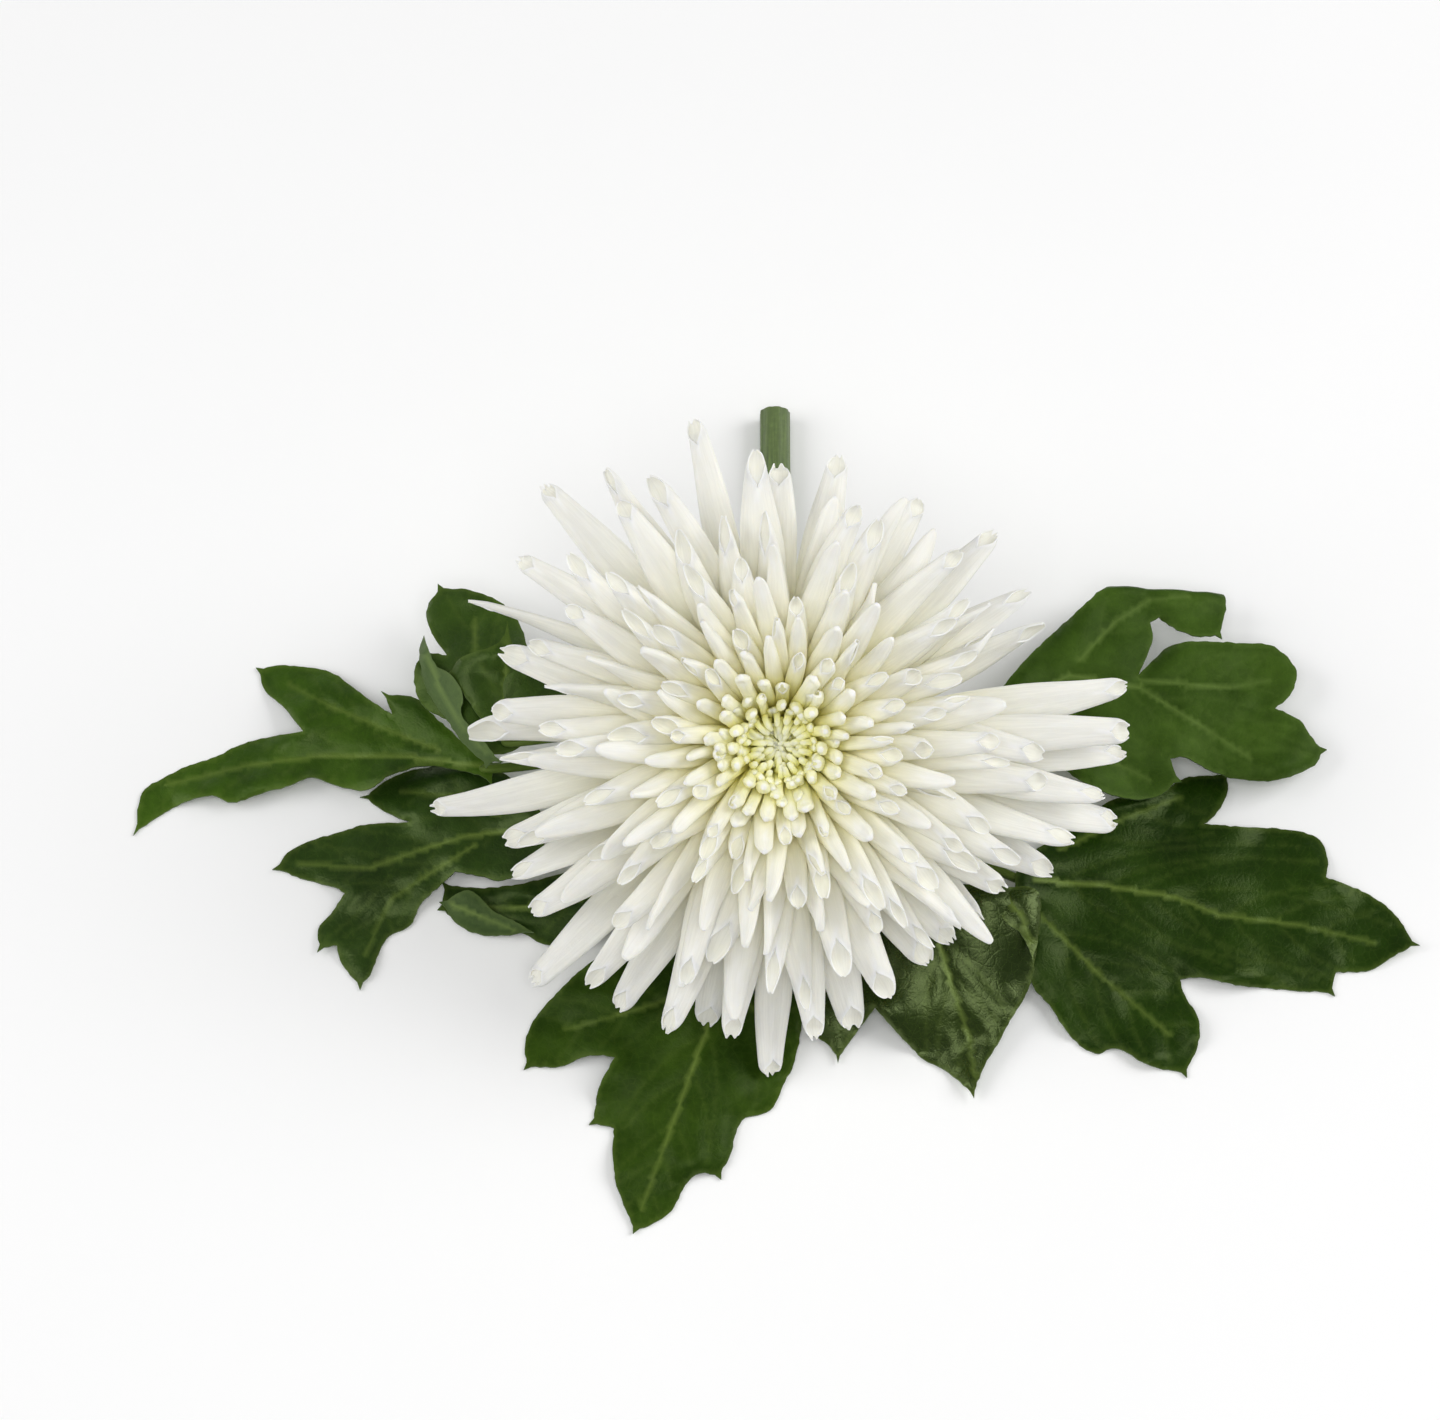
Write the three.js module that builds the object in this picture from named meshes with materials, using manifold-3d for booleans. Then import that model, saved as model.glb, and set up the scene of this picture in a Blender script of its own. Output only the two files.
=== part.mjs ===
// Cut disbud chrysanthemum with quilled white florets, lying on its lower florets, its leaves and its stem.
// Millimetres, +Z up. The flower axis leans toward -Y, the stem runs back along +Y.
import * as THREE from 'three';
import Module from 'manifold-3d';

// ---------------------------------------------------------------- driving dimensions
const BLOOM_RADIUS = 71;            // eye to the longest ray tip
const HEAD_HEIGHT = 39;             // receptacle centre above the surface
const HEAD_ELEVATION = 62;          // flower axis above the horizontal, degrees
const VIEW_ELEVATION = 65.5;        // direction the leaf plan outlines are drawn along, degrees
const VIEW_DISTANCE = 1200;         // distance of that drawing point
const PLAN_SCALE = 0.2;             // millimetres per plan unit
const PLAN_EYE = [778, 740];        // plan position of the receptacle centre
const PLAN_CENTRE = [720, 710];     // plan position the drawing direction passes through
const DOME_R = 11;                  // receptacle dome, radius
const DOME_H = 8;                   // receptacle dome, height
const STEM_R = 3.2;                 // stem radius
const STEM_START = 12.3;            // distance below the receptacle centre where the stem begins
const STEM_BEND_R = 42;             // bend radius of the neck
const STEM_END_Y = 92;              // position of the cut end
const LEAF_T = 0.9;                 // leaf blade thickness
const PETIOLE_R = 1.15;             // leaf stalk radius
const GAP = 0.3;                    // clearance between neighbouring pieces

const RAD = Math.PI / 180;
const wasm = await Module();
wasm.setup();
const { Manifold, Mesh: MMesh } = wasm;

// ---------------------------------------------------------------- small helpers
function rng(seed) {
  let s = seed >>> 0;
  return () => {
    s = (s + 0x6d2b79f5) >>> 0;
    let t = s;
    t = Math.imul(t ^ (t >>> 15), t | 1);
    t ^= t + Math.imul(t ^ (t >>> 7), t | 61);
    return ((t ^ (t >>> 14)) >>> 0) / 4294967296;
  };
}
const lerp = (a, b, t) => a + (b - a) * t;
const clamp = (x, a, b) => Math.min(b, Math.max(a, x));
const smooth = (a, b, x) => { const t = clamp((x - a) / (b - a), 0, 1); return t * t * (3 - 2 * t); };

const E = HEAD_ELEVATION * RAD;
const AXIS = new THREE.Vector3(0, -Math.cos(E), Math.sin(E));
const UP = new THREE.Vector3(0, Math.sin(E), Math.cos(E));
const RIGHT = new THREE.Vector3(1, 0, 0);
const HEAD = new THREE.Vector3(0, 0, HEAD_HEIGHT);
// head coordinates (azimuth, radius, height along the flower axis) to the part frame
function headPoint(az, r, w) {
  return HEAD.clone()
    .addScaledVector(RIGHT, r * Math.cos(az))
    .addScaledVector(UP, r * Math.sin(az))
    .addScaledVector(AXIS, w);
}

// closed loft through rings of equal count, flat triangulated ends
function loft(rings) {
  const n = rings[0].length, pos = [], idx = [];
  for (const ring of rings) for (const p of ring) pos.push(p.x, p.y, p.z);
  for (let k = 0; k + 1 < rings.length; k++) {
    for (let i = 0; i < n; i++) {
      const a = k * n + i, b = k * n + (i + 1) % n, c = a + n, d = b + n;
      idx.push(a, b, d, a, d, c);
    }
  }
  for (let i = 1; i + 1 < n; i++) idx.push(0, i + 1, i);
  const o = (rings.length - 1) * n;
  for (let i = 1; i + 1 < n; i++) idx.push(o, o + i, o + i + 1);
  return { pos, idx };
}
function signedVolume({ pos, idx }) {
  let v = 0;
  const A = new THREE.Vector3(), B = new THREE.Vector3(), C = new THREE.Vector3();
  for (let i = 0; i < idx.length; i += 3) {
    A.fromArray(pos, idx[i] * 3); B.fromArray(pos, idx[i + 1] * 3); C.fromArray(pos, idx[i + 2] * 3);
    v += A.dot(B.cross(C)) / 6;
  }
  return v;
}
function outward(m) {
  if (signedVolume(m) < 0) {
    for (let i = 0; i < m.idx.length; i += 3) { const t = m.idx[i]; m.idx[i] = m.idx[i + 1]; m.idx[i + 1] = t; }
  }
  return m;
}
function toManifold(m) {
  outward(m);
  return Manifold.ofMesh(new MMesh({ numProp: 3, vertProperties: new Float32Array(m.pos), triVerts: new Uint32Array(m.idx) }));
}
function fromManifold(man) {
  const mesh = man.getMesh(), np = mesh.numProp, pos = [];
  for (let i = 0; i < mesh.vertProperties.length; i += np) {
    pos.push(mesh.vertProperties[i], mesh.vertProperties[i + 1], mesh.vertProperties[i + 2]);
  }
  return { pos, idx: Array.from(mesh.triVerts) };
}
function unite(list) {
  return fromManifold(Manifold.union(list.map(toManifold)));
}
function tube(points, radii, sides, upHint = new THREE.Vector3(0, 0, 1), squash = 1) {
  const rings = [];
  for (let i = 0; i < points.length; i++) {
    const t = new THREE.Vector3().subVectors(points[Math.min(i + 1, points.length - 1)], points[Math.max(i - 1, 0)]).normalize();
    const side = new THREE.Vector3().crossVectors(t, upHint).normalize();
    const up = new THREE.Vector3().crossVectors(side, t).normalize();
    const ring = [];
    for (let k = 0; k < sides; k++) {
      const a = (k + 0.5) / sides * Math.PI * 2;
      ring.push(points[i].clone().addScaledVector(side, radii[i] * Math.cos(a)).addScaledVector(up, radii[i] * squash * Math.sin(a)));
    }
    rings.push(ring);
  }
  return loft(rings);
}
// surface of revolution about the flower axis, profile [[r, w], ...] starting and ending on the axis
function headLathe(profile, segments) {
  const pos = [], idx = [];
  const rows = profile.map(([r, w]) => {
    if (r < 1e-6) { const p = headPoint(0, 0, w); pos.push(p.x, p.y, p.z); return [pos.length / 3 - 1]; }
    const row = [];
    for (let k = 0; k < segments; k++) {
      const p = headPoint(k / segments * 2 * Math.PI, r, w);
      pos.push(p.x, p.y, p.z); row.push(pos.length / 3 - 1);
    }
    return row;
  });
  for (let i = 0; i + 1 < rows.length; i++) {
    const A = rows[i], B = rows[i + 1];
    for (let k = 0; k < segments; k++) {
      const k2 = (k + 1) % segments;
      if (A.length === 1 && B.length > 1) idx.push(A[0], B[k], B[k2]);
      else if (B.length === 1 && A.length > 1) idx.push(A[k], B[0], A[k2]);
      else idx.push(A[k], B[k], B[k2], A[k], B[k2], A[k2]);
    }
  }
  return outward({ pos, idx });
}

// ---------------------------------------------------------------- floret layers, inner to outer
// tip radius, tip height, root angle on the dome, direction at root and at tip (degrees from the flower axis)
const LAYERS = [
  { tipR: 10.2, tipW: 21.2, root: 28, a0: 16, a1: 36,  n: 16, width: 2.5, thick: 1.9 },
  { tipR: 15.0, tipW: 24.0, root: 35, a0: 19, a1: 48,  n: 20, width: 3.0, thick: 2.1 },
  { tipR: 20.8, tipW: 25.6, root: 42, a0: 24, a1: 57,  n: 24, width: 3.5, thick: 2.3 },
  { tipR: 27.3, tipW: 25.4, root: 49, a0: 31, a1: 65,  n: 26, width: 4.1, thick: 2.5 },
  { tipR: 34.3, tipW: 23.6, root: 56, a0: 39, a1: 71,  n: 27, width: 4.6, thick: 2.6 },
  { tipR: 41.4, tipW: 20.2, root: 63, a0: 47, a1: 77,  n: 28, width: 5.1, thick: 2.7 },
  { tipR: 48.4, tipW: 15.6, root: 70, a0: 56, a1: 83,  n: 26, width: 5.8, thick: 2.8 },
  { tipR: 55.4, tipW: 10.0, root: 78, a0: 65, a1: 90,  n: 24, width: 6.6, thick: 2.9 },
  { tipR: 62.0, tipW: 3.2,  root: 87, a0: 75, a1: 98,  n: 18, width: 7.4, thick: 2.9 },
  { tipR: 65.0, tipW: -5.2, root: 98, a0: 85, a1: 107, n: 20, width: 7.8, thick: 2.9 },
];
function layerCurve(L) {
  const th = L.root * RAD;
  const r0 = (DOME_R + GAP) * Math.sin(th), w0 = (DOME_H + GAP) * Math.cos(th);
  const len = Math.hypot(L.tipR - r0, L.tipW - w0), a0 = L.a0 * RAD, a1 = L.a1 * RAD;
  return new THREE.CubicBezierCurve(
    new THREE.Vector2(r0, w0),
    new THREE.Vector2(r0 + Math.sin(a0) * len * 0.36, w0 + Math.cos(a0) * len * 0.36),
    new THREE.Vector2(L.tipR - Math.sin(a1) * len * 0.36, L.tipW - Math.cos(a1) * len * 0.36),
    new THREE.Vector2(L.tipR, L.tipW),
  );
}
const CURVES = LAYERS.map(layerCurve);
// point on a layer's generating curve, extended straight beyond the tip
function curveAt(curve, s) {
  if (s <= 1) return { p: curve.getPoint(s), t: curve.getTangent(clamp(s, 0.0001, 0.9999)) };
  const t = curve.getTangent(0.9999), p = curve.getPoint(1), L = curve.getLength();
  return { p: p.addScaledVector(t, (s - 1) * L), t };
}
// distance from a point of one layer to the neighbouring generating curves
function corridor(k, s) {
  const { p } = curveAt(CURVES[k], s);
  let d = 1e9;
  for (const j of [k - 1, k + 1]) {
    if (j < 0 || j >= CURVES.length) continue;
    for (let q = 0; q <= 60; q++) d = Math.min(d, curveAt(CURVES[j], q / 60 * 1.12).p.distanceTo(p));
  }
  if (k === 0) d = Math.min(d, p.x * 1.4);
  return d;
}

// one floret: narrow flattened tube at its root, widening to an open spoon mouth, blunt tip
// o: azRoot, azTip, reach (fraction of the curve), width, thick, rootWidth, stations, lift, sideBend, channel sides
function floret(k, o) {
  const curve = CURVES[k], rings = [];
  for (const st of o.stations) {
    const s = st.s * o.reach;
    const { p, t } = curveAt(curve, s);
    const nrm = new THREE.Vector2(-t.y, t.x);   // toward the flower axis
    if (nrm.y < 0 && t.x > 0.2) nrm.multiplyScalar(-1);
    if (t.x <= 0.2) nrm.set(-Math.abs(t.y), t.x);
    const az = lerp(o.azRoot, o.azTip, Math.pow(st.s, 0.8)) + (o.sideBend || 0) * st.s * st.s;
    const lift = (o.lift || 0) * st.s * st.s * st.s;
    const half = Math.min(o.thick * st.h, corridor(k, s) - GAP) / 2 * 1.0;
    const hw = st.w < 0 ? o.rootWidth / 2 : o.width * st.w / 2;
    const c = headPoint(az, p.x + nrm.x * lift, p.y + nrm.y * lift);
    const up = RIGHT.clone().multiplyScalar(nrm.x * Math.cos(az)).addScaledVector(UP, nrm.x * Math.sin(az)).addScaledVector(AXIS, nrm.y).normalize();
    const side = RIGHT.clone().multiplyScalar(-Math.sin(az)).addScaledVector(UP, Math.cos(az));
    const ring = [];
    const add = (x, y) => ring.push(c.clone().addScaledVector(side, x * hw).addScaledVector(up, y * half));
    if (o.sides === 4) {
      add(-1, 0.25); add(0, -1); add(1, 0.25); add(0, lerp(1, -0.35, st.open));
    } else {
      add(-1, lerp(0.05, 0.35, st.open)); add(-0.5, -0.85); add(0.5, -0.85); add(1, lerp(0.05, 0.35, st.open));
      add(0.55, lerp(0.85, 0.55, st.open)); add(0, lerp(1, -0.4, st.open)); add(-0.55, lerp(0.85, 0.55, st.open));
    }
    rings.push(ring);
  }
  return outward(loft(rings));
}

const OUTER_STATIONS = [
  { s: 0.0, w: -1, h: 0.8, open: 0 },
  { s: 0.36, w: 0.55, h: 0.8, open: 0 },
  { s: 0.72, w: 0.95, h: 1.0, open: 0.1 },
  { s: 0.9, w: 0.94, h: 0.9, open: 0.9 },
  { s: 1.0, w: 0.4, h: 0.5, open: 0.4 },
];

const parts = [];   // { name, mesh, material }
const petalMat = (hex, name) => { const m = new THREE.MeshStandardMaterial({ color: hex, roughness: 0.62, metalness: 0 }); m.name = name; return m; };

// whorls of florets growing out of one crowded ring of bases
const WHORL_COLOURS = [0xe9e2b2, 0xece8c4, 0xf0edd2, 0xf3f1de, 0xf5f4e8, 0xf7f6ee, 0xf8f8f2, 0xf9f9f5];
const BASE_S = 0.2;                 // share of the length over which the bases are fused
function whorl(k) {
  const L = LAYERS[k], n = L.n, rand = rng(911 + 37 * k), step = 2 * Math.PI / n, phase = rand() * Math.PI * 2;
  const pos = [], idx = [];
  const put = (v) => { pos.push(v.x, v.y, v.z); return pos.length / 3 - 1; };
  const at = (s, az, y, lift = 0) => {
    const { p, t } = curveAt(CURVES[k], s);
    const nx = -t.y, ny = t.x, half = Math.min(L.thick, corridor(k, s) - GAP) / 2;
    return headPoint(az, p.x + nx * (y * half + lift), p.y + ny * (y * half + lift));
  };
  const T = [], B = [], A = [];
  for (let i = 0; i < n; i++) {
    const az = phase + (i - 0.5) * step;
    T.push(put(at(0, az, 1))); B.push(put(at(0, az, -1))); A.push(put(at(BASE_S, az, 0.1)));
  }
  const room = Math.max(0, corridor(k, 0.84) / 2 - L.thick / 2 - GAP);
  for (let i = 0; i < n; i++) {
    const j = (i + 1) % n, az0 = phase + i * step;
    const MT = put(at(BASE_S, az0, 1)), MB = put(at(BASE_S, az0, -1));
    idx.push(T[j], T[i], A[j], A[j], T[i], MT, MT, T[i], A[i]);
    idx.push(B[i], B[j], A[i], A[i], B[j], MB, MB, B[j], A[j]);
    idx.push(T[i], T[j], B[i], B[i], T[j], B[j]);
    let prev = [A[i], MB, A[j], MT];
    const reach = lerp(0.86, 1.07, rand()), wf = lerp(0.9, 1.05, rand()), turn = (rand() - 0.5) * step * 0.3;
    const lift = (rand() * 2 - 1) * Math.min(room, 2.2);
    for (const [s, w, h, open] of [[0.55, 0.76, 0.9, 0], [0.84, 1, 1, 0.85], [1, 0.36, 0.5, 0.4]]) {
      const sc = s * reach, { p, t } = curveAt(CURVES[k], sc), nx = -t.y, ny = t.x;
      const az = az0 + turn * s, hl = lift * s * s;
      const half = Math.min(L.thick * h, corridor(k, sc) - GAP) / 2, hw = L.width * w * wf / 2;
      const c = headPoint(az, p.x + nx * hl, p.y + ny * hl);
      const up = RIGHT.clone().multiplyScalar(nx * Math.cos(az)).addScaledVector(UP, nx * Math.sin(az)).addScaledVector(AXIS, ny);
      const side = RIGHT.clone().multiplyScalar(-Math.sin(az)).addScaledVector(UP, Math.cos(az));
      const ring = [[-1, 0.25], [0, -1], [1, 0.25], [0, lerp(1, -0.35, open)]].map(([x, y]) => put(c.clone().addScaledVector(side, x * hw).addScaledVector(up, y * half)));
      for (let m = 0; m < 4; m++) {
        const m2 = (m + 1) % 4;
        idx.push(prev[m], prev[m2], ring[m2], prev[m], ring[m2], ring[m]);
      }
      prev = ring;
    }
    idx.push(prev[0], prev[1], prev[3], prev[1], prev[2], prev[3]);
  }
  return outward({ pos, idx });
}
for (let k = 0; k < 8; k++) parts.push({ name: `ray_whorl_0${k + 1}`, mesh: whorl(k), material: petalMat(WHORL_COLOURS[k], 'petal') });

// the eye: unopened incurved florets on a small button
{
  const rand = rng(4242), list = [];
  list.push(headLathe([[0, DOME_H + GAP], [2.9, DOME_H + 0.1], [3.1, DOME_H + 1.2], [1.6, DOME_H + 2.6], [0, DOME_H + 2.9]], 10));
  // count, root radius, widest radius, tip radius, tip height, width
  const rows = [[1, 0.01, 0.01, 0, 15.2, 1.6], [6, 1.5, 2.9, 1.4, 16.4, 1.5], [12, 2.5, 4.8, 2.9, 18.2, 1.7]];
  for (const [n, rr, rm, rt, wt, wd] of rows) {
    for (let i = 0; i < n; i++) {
      const az = (i + 0.31 * rr) / n * 2 * Math.PI;
      const tipAz = az + (rand() - 0.5) * 0.4;
      const rt2 = rt * lerp(0.85, 1.08, rand()), wt2 = wt + lerp(-0.5, 0.5, rand());
      const stations = [[rr, DOME_H + 1.0, wd * 0.5], [rm, lerp(DOME_H + 1, wt2, 0.7), wd], [rt2, wt2, wd * 0.55]];
      const rings = stations.map(([r, w, d], q) => {
        const a = q < 1 ? az : tipAz, c = headPoint(a, r, w), ring = [];
        for (let m = 0; m < 4; m++) {
          const g = m * Math.PI / 2 + a;
          ring.push(c.clone().addScaledVector(RIGHT, Math.cos(g) * d / 2 * 0.8).addScaledVector(UP, Math.sin(g) * d / 2 * 0.8));
        }
        return ring;
      });
      list.push(outward(loft(rings)));
    }
  }
  parts.push({ name: 'ray_whorl_eye', mesh: unite(list), material: petalMat(0xd9d79c, 'petal_eye') });
}

// outer rays, each its own piece: azimuth (degrees), tip distance, width factor, sideways bend (degrees), tip lift
const UPPER_RAYS = [
  [2, 70, 1.0, 0, 0], [-9, 66, 1.0, 0, 0], [-20, 62, 1.0, 1, 0], [-34, 54, 0.95, 0, 0], [-49, 53, 1.0, -1, 0], [-66, 53, 1.0, 0, 0],
  [-83, 60, 1.05, 1, 0], [-98, 60, 1.0, 0, 0], [-112, 62, 1.05, 0, 0], [-127, 62, 1.0, 0, 0], [-144, 60, 1.0, -1, 0], [-161, 58, 1.0, 0, 0],
  [163, 58, 0.95, 0, 0], [142, 63, 0.95, 2, 0], [122, 64, 1.0, 0, 0], [90, 55, 0.95, 0, 0], [61, 56, 1.0, 0, 0], [31, 58, 1.0, 0, 0],
];
const LOWER_RAYS = [
  [8, 71, 1.0, 0, 0], [-3, 70, 1.0, 0, 0], [-14, 70.5, 1.05, 0, 0], [-27, 61, 1.0, 0, 0], [-42, 54, 1.0, 0, 0], [-57, 54, 1.0, 0, 0],
  [-75, 60, 1.0, 0, 0], [-90, 67.4, 1.05, 0, 0.9], [-105, 59, 1.0, 0, 0], [-119, 63.4, 1.0, -1, 0], [-135.6, 70, 1.0, 0, 0], [-152, 60, 1.0, 0, 0],
  [-168, 71, 1.0, 0, 0], [175, 61, 0.9, 3, 1.5], [151, 67, 0.6, 4, 1.0], [132, 69, 0.9, 0, 0], [106, 66, 0.95, 0, 0], [78, 58, 1.0, 0, 0],
  [43, 60, 1.0, 0, 0], [21, 57, 0.9, 3, 1.5],
];
function outerRays(k, table, prefix, hex) {
  const len = CURVES[k].getLength(), L = LAYERS[k];
  table.forEach(([deg, tip, wf, bend, lift], i) => {
    const extra = tip - L.tipR;
    const az = deg * RAD;
    const m = floret(k, {
      azRoot: az, azTip: az, reach: 1 + extra / len, width: L.width * wf, thick: L.thick,
      rootWidth: 1.75, stations: OUTER_STATIONS, sides: 7, sideBend: bend * RAD, lift,
    });
    parts.push({ name: `${prefix}_${String(i + 1).padStart(2, '0')}`, mesh: m, material: petalMat(hex, 'petal_outer') });
  });
}
outerRays(8, UPPER_RAYS, 'ray_upper', 0xfafaf7);
outerRays(9, LOWER_RAYS, 'ray_lower', 0xfbfbf8);

// ---------------------------------------------------------------- receptacle and bracts
const green = (hex, name) => { const m = new THREE.MeshStandardMaterial({ color: hex, roughness: 0.5, metalness: 0 }); m.name = name; return m; };
parts.push({
  name: 'receptacle',
  mesh: headLathe([[0, DOME_H - 0.05], [4.6, 7.1], [7.9, 5.4], [10.0, 3.0], [10.85, 0.2], [10.2, -3.2], [7.6, -6.4], [4.9, -9.2], [3.7, -11.9], [0, -11.9]], 18),
  material: green(0x7d9150, 'receptacle'),
});
function bractRing(name, n, phase, inner, profile, width, t, hex) {
  const pos = [], idx = [], step = 2 * Math.PI / n;
  const put = (v) => { pos.push(v.x, v.y, v.z); return pos.length / 3 - 1; };
  const nr = (() => { const a = profile[0], b = profile[profile.length - 1], v = new THREE.Vector2(b[0] - a[0], b[1] - a[1]).normalize(); return [-v.y, v.x]; })();
  const at = ([r, w], az, y, x = 0) => headPoint(az, r + nr[0] * y * t / 2, w + nr[1] * y * t / 2)
    .addScaledVector(RIGHT.clone().multiplyScalar(-Math.sin(az)).addScaledVector(UP, Math.cos(az)), x);
  const IT = [], IB = [], OT = [], OB = [];
  for (let i = 0; i < n; i++) {
    const az = phase + (i - 0.5) * step;
    IT.push(put(at(inner, az, 1))); IB.push(put(at(inner, az, -1)));
    OT.push(put(at(profile[0], az, 1))); OB.push(put(at(profile[0], az, -1)));
  }
  for (let i = 0; i < n; i++) {
    const j = (i + 1) % n, az = phase + i * step;
    idx.push(IT[j], IT[i], OT[j], OT[j], IT[i], OT[i], IB[i], IB[j], OB[i], OB[i], IB[j], OB[j], IT[i], IT[j], IB[i], IB[i], IT[j], IB[j]);
    let prev = [OB[i], OB[j], OT[j], OT[i]];
    for (const q of profile.slice(1)) {
      const hw = width * q[2] / 2;
      const ring = [put(at(q, az, -1, -hw)), put(at(q, az, -1, hw)), put(at(q, az, 1, hw)), put(at(q, az, 1, -hw))];
      for (let m = 0; m < 4; m++) {
        const m2 = (m + 1) % 4;
        idx.push(prev[m], prev[m2], ring[m2], prev[m], ring[m2], ring[m]);
      }
      prev = ring;
    }
    idx.push(prev[0], prev[1], prev[2], prev[0], prev[2], prev[3]);
  }
  parts.push({ name, mesh: outward({ pos, idx }), material: green(hex, 'bract') });
}
bractRing('involucre_inner', 13, 0.1, [11.3, -3.9], [[13.0, -4.3], [16.4, -5.0, 0.86], [20.3, -5.9, 0.3]], 6.4, 0.7, 0x6f8c45);
bractRing('involucre_outer', 11, 0.3, [9.2, -6.3], [[11.2, -6.5], [14.2, -7.0, 0.8], [17.2, -7.7, 0.26]], 6.4, 0.7, 0x5f7f3a);

// ---------------------------------------------------------------- stem
const stemPts = [];
const stemStart = headPoint(0, 0, -STEM_START);
{
  const drop = stemStart.z - STEM_R, arc = STEM_BEND_R * (1 - Math.cos(E)), straight = Math.max(0.5, (drop - arc) / Math.sin(E));
  const dir = AXIS.clone().multiplyScalar(-1);
  stemPts.push(stemStart.clone());
  const bendStart = stemStart.clone().addScaledVector(dir, straight);
  for (let i = 0; i <= 7; i++) {
    const g = E * (1 - i / 7);   // heading below horizontal
    stemPts.push(new THREE.Vector3(0, bendStart.y + STEM_BEND_R * (Math.sin(E) - Math.sin(g)), bendStart.z - STEM_BEND_R * (Math.cos(g) - Math.cos(E))));
  }
  const last = stemPts[stemPts.length - 1];
  stemPts.push(new THREE.Vector3(0, lerp(last.y, STEM_END_Y, 0.55), last.z));
  stemPts.push(new THREE.Vector3(0, STEM_END_Y, last.z));
}
const stemCurve = new THREE.CatmullRomCurve3(stemPts);
{
  const sides = 10, rings = [];
  stemPts.forEach((p, i) => {
    const t = i === 0 ? AXIS.clone().multiplyScalar(-1) : i === stemPts.length - 1 ? new THREE.Vector3(0, 1, 0)
      : new THREE.Vector3().subVectors(stemPts[i + 1], stemPts[i - 1]).normalize();
    const up = new THREE.Vector3().crossVectors(RIGHT, t).normalize(), ring = [];
    for (let k = 0; k < sides; k++) {
      const a = (k + 0.5) / sides * Math.PI * 2;
      const rr = STEM_R / Math.cos(Math.PI / sides) * 0.985;
      ring.push(p.clone().addScaledVector(RIGHT, rr * Math.cos(a)).addScaledVector(up, rr * Math.sin(a)));
    }
    rings.push(ring);
  });
  parts.push({ name: 'stem', mesh: outward(loft(rings)), material: green(0x5e7d35, 'stem') });
}
function stemAt(y) {   // centre of the stem at a given distance back
  for (let i = 0; i + 1 < stemPts.length; i++) {
    const a = stemPts[i], b = stemPts[i + 1];
    if (y >= a.y && y <= b.y) {
      const t = (y - a.y) / (b.y - a.y);
      return { p: a.clone().lerp(b, t), t: new THREE.Vector3().subVectors(b, a).normalize() };
    }
  }
  throw new Error('off the stem ' + y);
}

// ---------------------------------------------------------------- leaves
const VE = VIEW_ELEVATION * RAD;
const V_UP = new THREE.Vector3(0, Math.sin(VE), Math.cos(VE));
const V_DIR = new THREE.Vector3(0, -Math.cos(VE), Math.sin(VE));
const VIEW_POINT = HEAD.clone()
  .addScaledVector(RIGHT, (PLAN_CENTRE[0] - PLAN_EYE[0]) * PLAN_SCALE)
  .addScaledVector(V_UP, (PLAN_EYE[1] - PLAN_CENTRE[1]) * PLAN_SCALE)
  .addScaledVector(V_DIR, VIEW_DISTANCE);
function planToWorld(px, py, z) {
  const q = HEAD.clone().addScaledVector(RIGHT, (px - PLAN_EYE[0]) * PLAN_SCALE).addScaledVector(V_UP, (PLAN_EYE[1] - py) * PLAN_SCALE);
  const d = q.sub(VIEW_POINT), t = (z - VIEW_POINT.z) / d.z;
  return VIEW_POINT.clone().addScaledVector(d, t);
}
function solve(A, b) {
  const n = b.length, M = A.map((row, i) => [...row, b[i]]);
  for (let i = 0; i < n; i++) {
    let p = i;
    for (let r = i + 1; r < n; r++) if (Math.abs(M[r][i]) > Math.abs(M[p][i])) p = r;
    [M[i], M[p]] = [M[p], M[i]];
    for (let r = 0; r < n; r++) {
      if (r === i) continue;
      const f = M[r][i] / M[i][i];
      if (f) for (let c = i; c <= n; c++) M[r][c] -= f * M[i][c];
    }
  }
  return M.map((row, i) => row[n] / row[i]);
}
// smooth height surface through a few heights given in plan units
function heightField(samples) {
  const S = samples.map(([x, y, z]) => [x / 100, y / 100, z]);
  const ker = (d2) => (d2 < 1e-9 ? 0 : d2 * Math.log(d2) * 0.5);
  const n = S.length, A = [], b = [];
  for (let i = 0; i < n; i++) {
    const row = [];
    for (let j = 0; j < n; j++) row.push(ker((S[i][0] - S[j][0]) ** 2 + (S[i][1] - S[j][1]) ** 2) + (i === j ? 0.02 : 0));
    row.push(1, S[i][0], S[i][1]); A.push(row); b.push(S[i][2]);
  }
  A.push([...S.map(() => 1), 0, 0, 0]); A.push([...S.map((s) => s[0]), 0, 0, 0]); A.push([...S.map((s) => s[1]), 0, 0, 0]);
  b.push(0, 0, 0);
  const w = solve(A, b);
  return (x, y) => {
    x /= 100; y /= 100;
    let v = w[n] + w[n + 1] * x + w[n + 2] * y;
    for (let i = 0; i < n; i++) v += w[i] * ker((x - S[i][0]) ** 2 + (y - S[i][1]) ** 2);
    return Math.max(0, v);
  };
}
const inside = (poly, x, y) => {
  let c = false;
  for (let i = 0, j = poly.length - 1; i < poly.length; j = i++) {
    const [xi, yi] = poly[i], [xj, yj] = poly[j];
    if ((yi > y) !== (yj > y) && x < (xj - xi) * (y - yi) / (yj - yi) + xi) c = !c;
  }
  return c;
};
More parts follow.
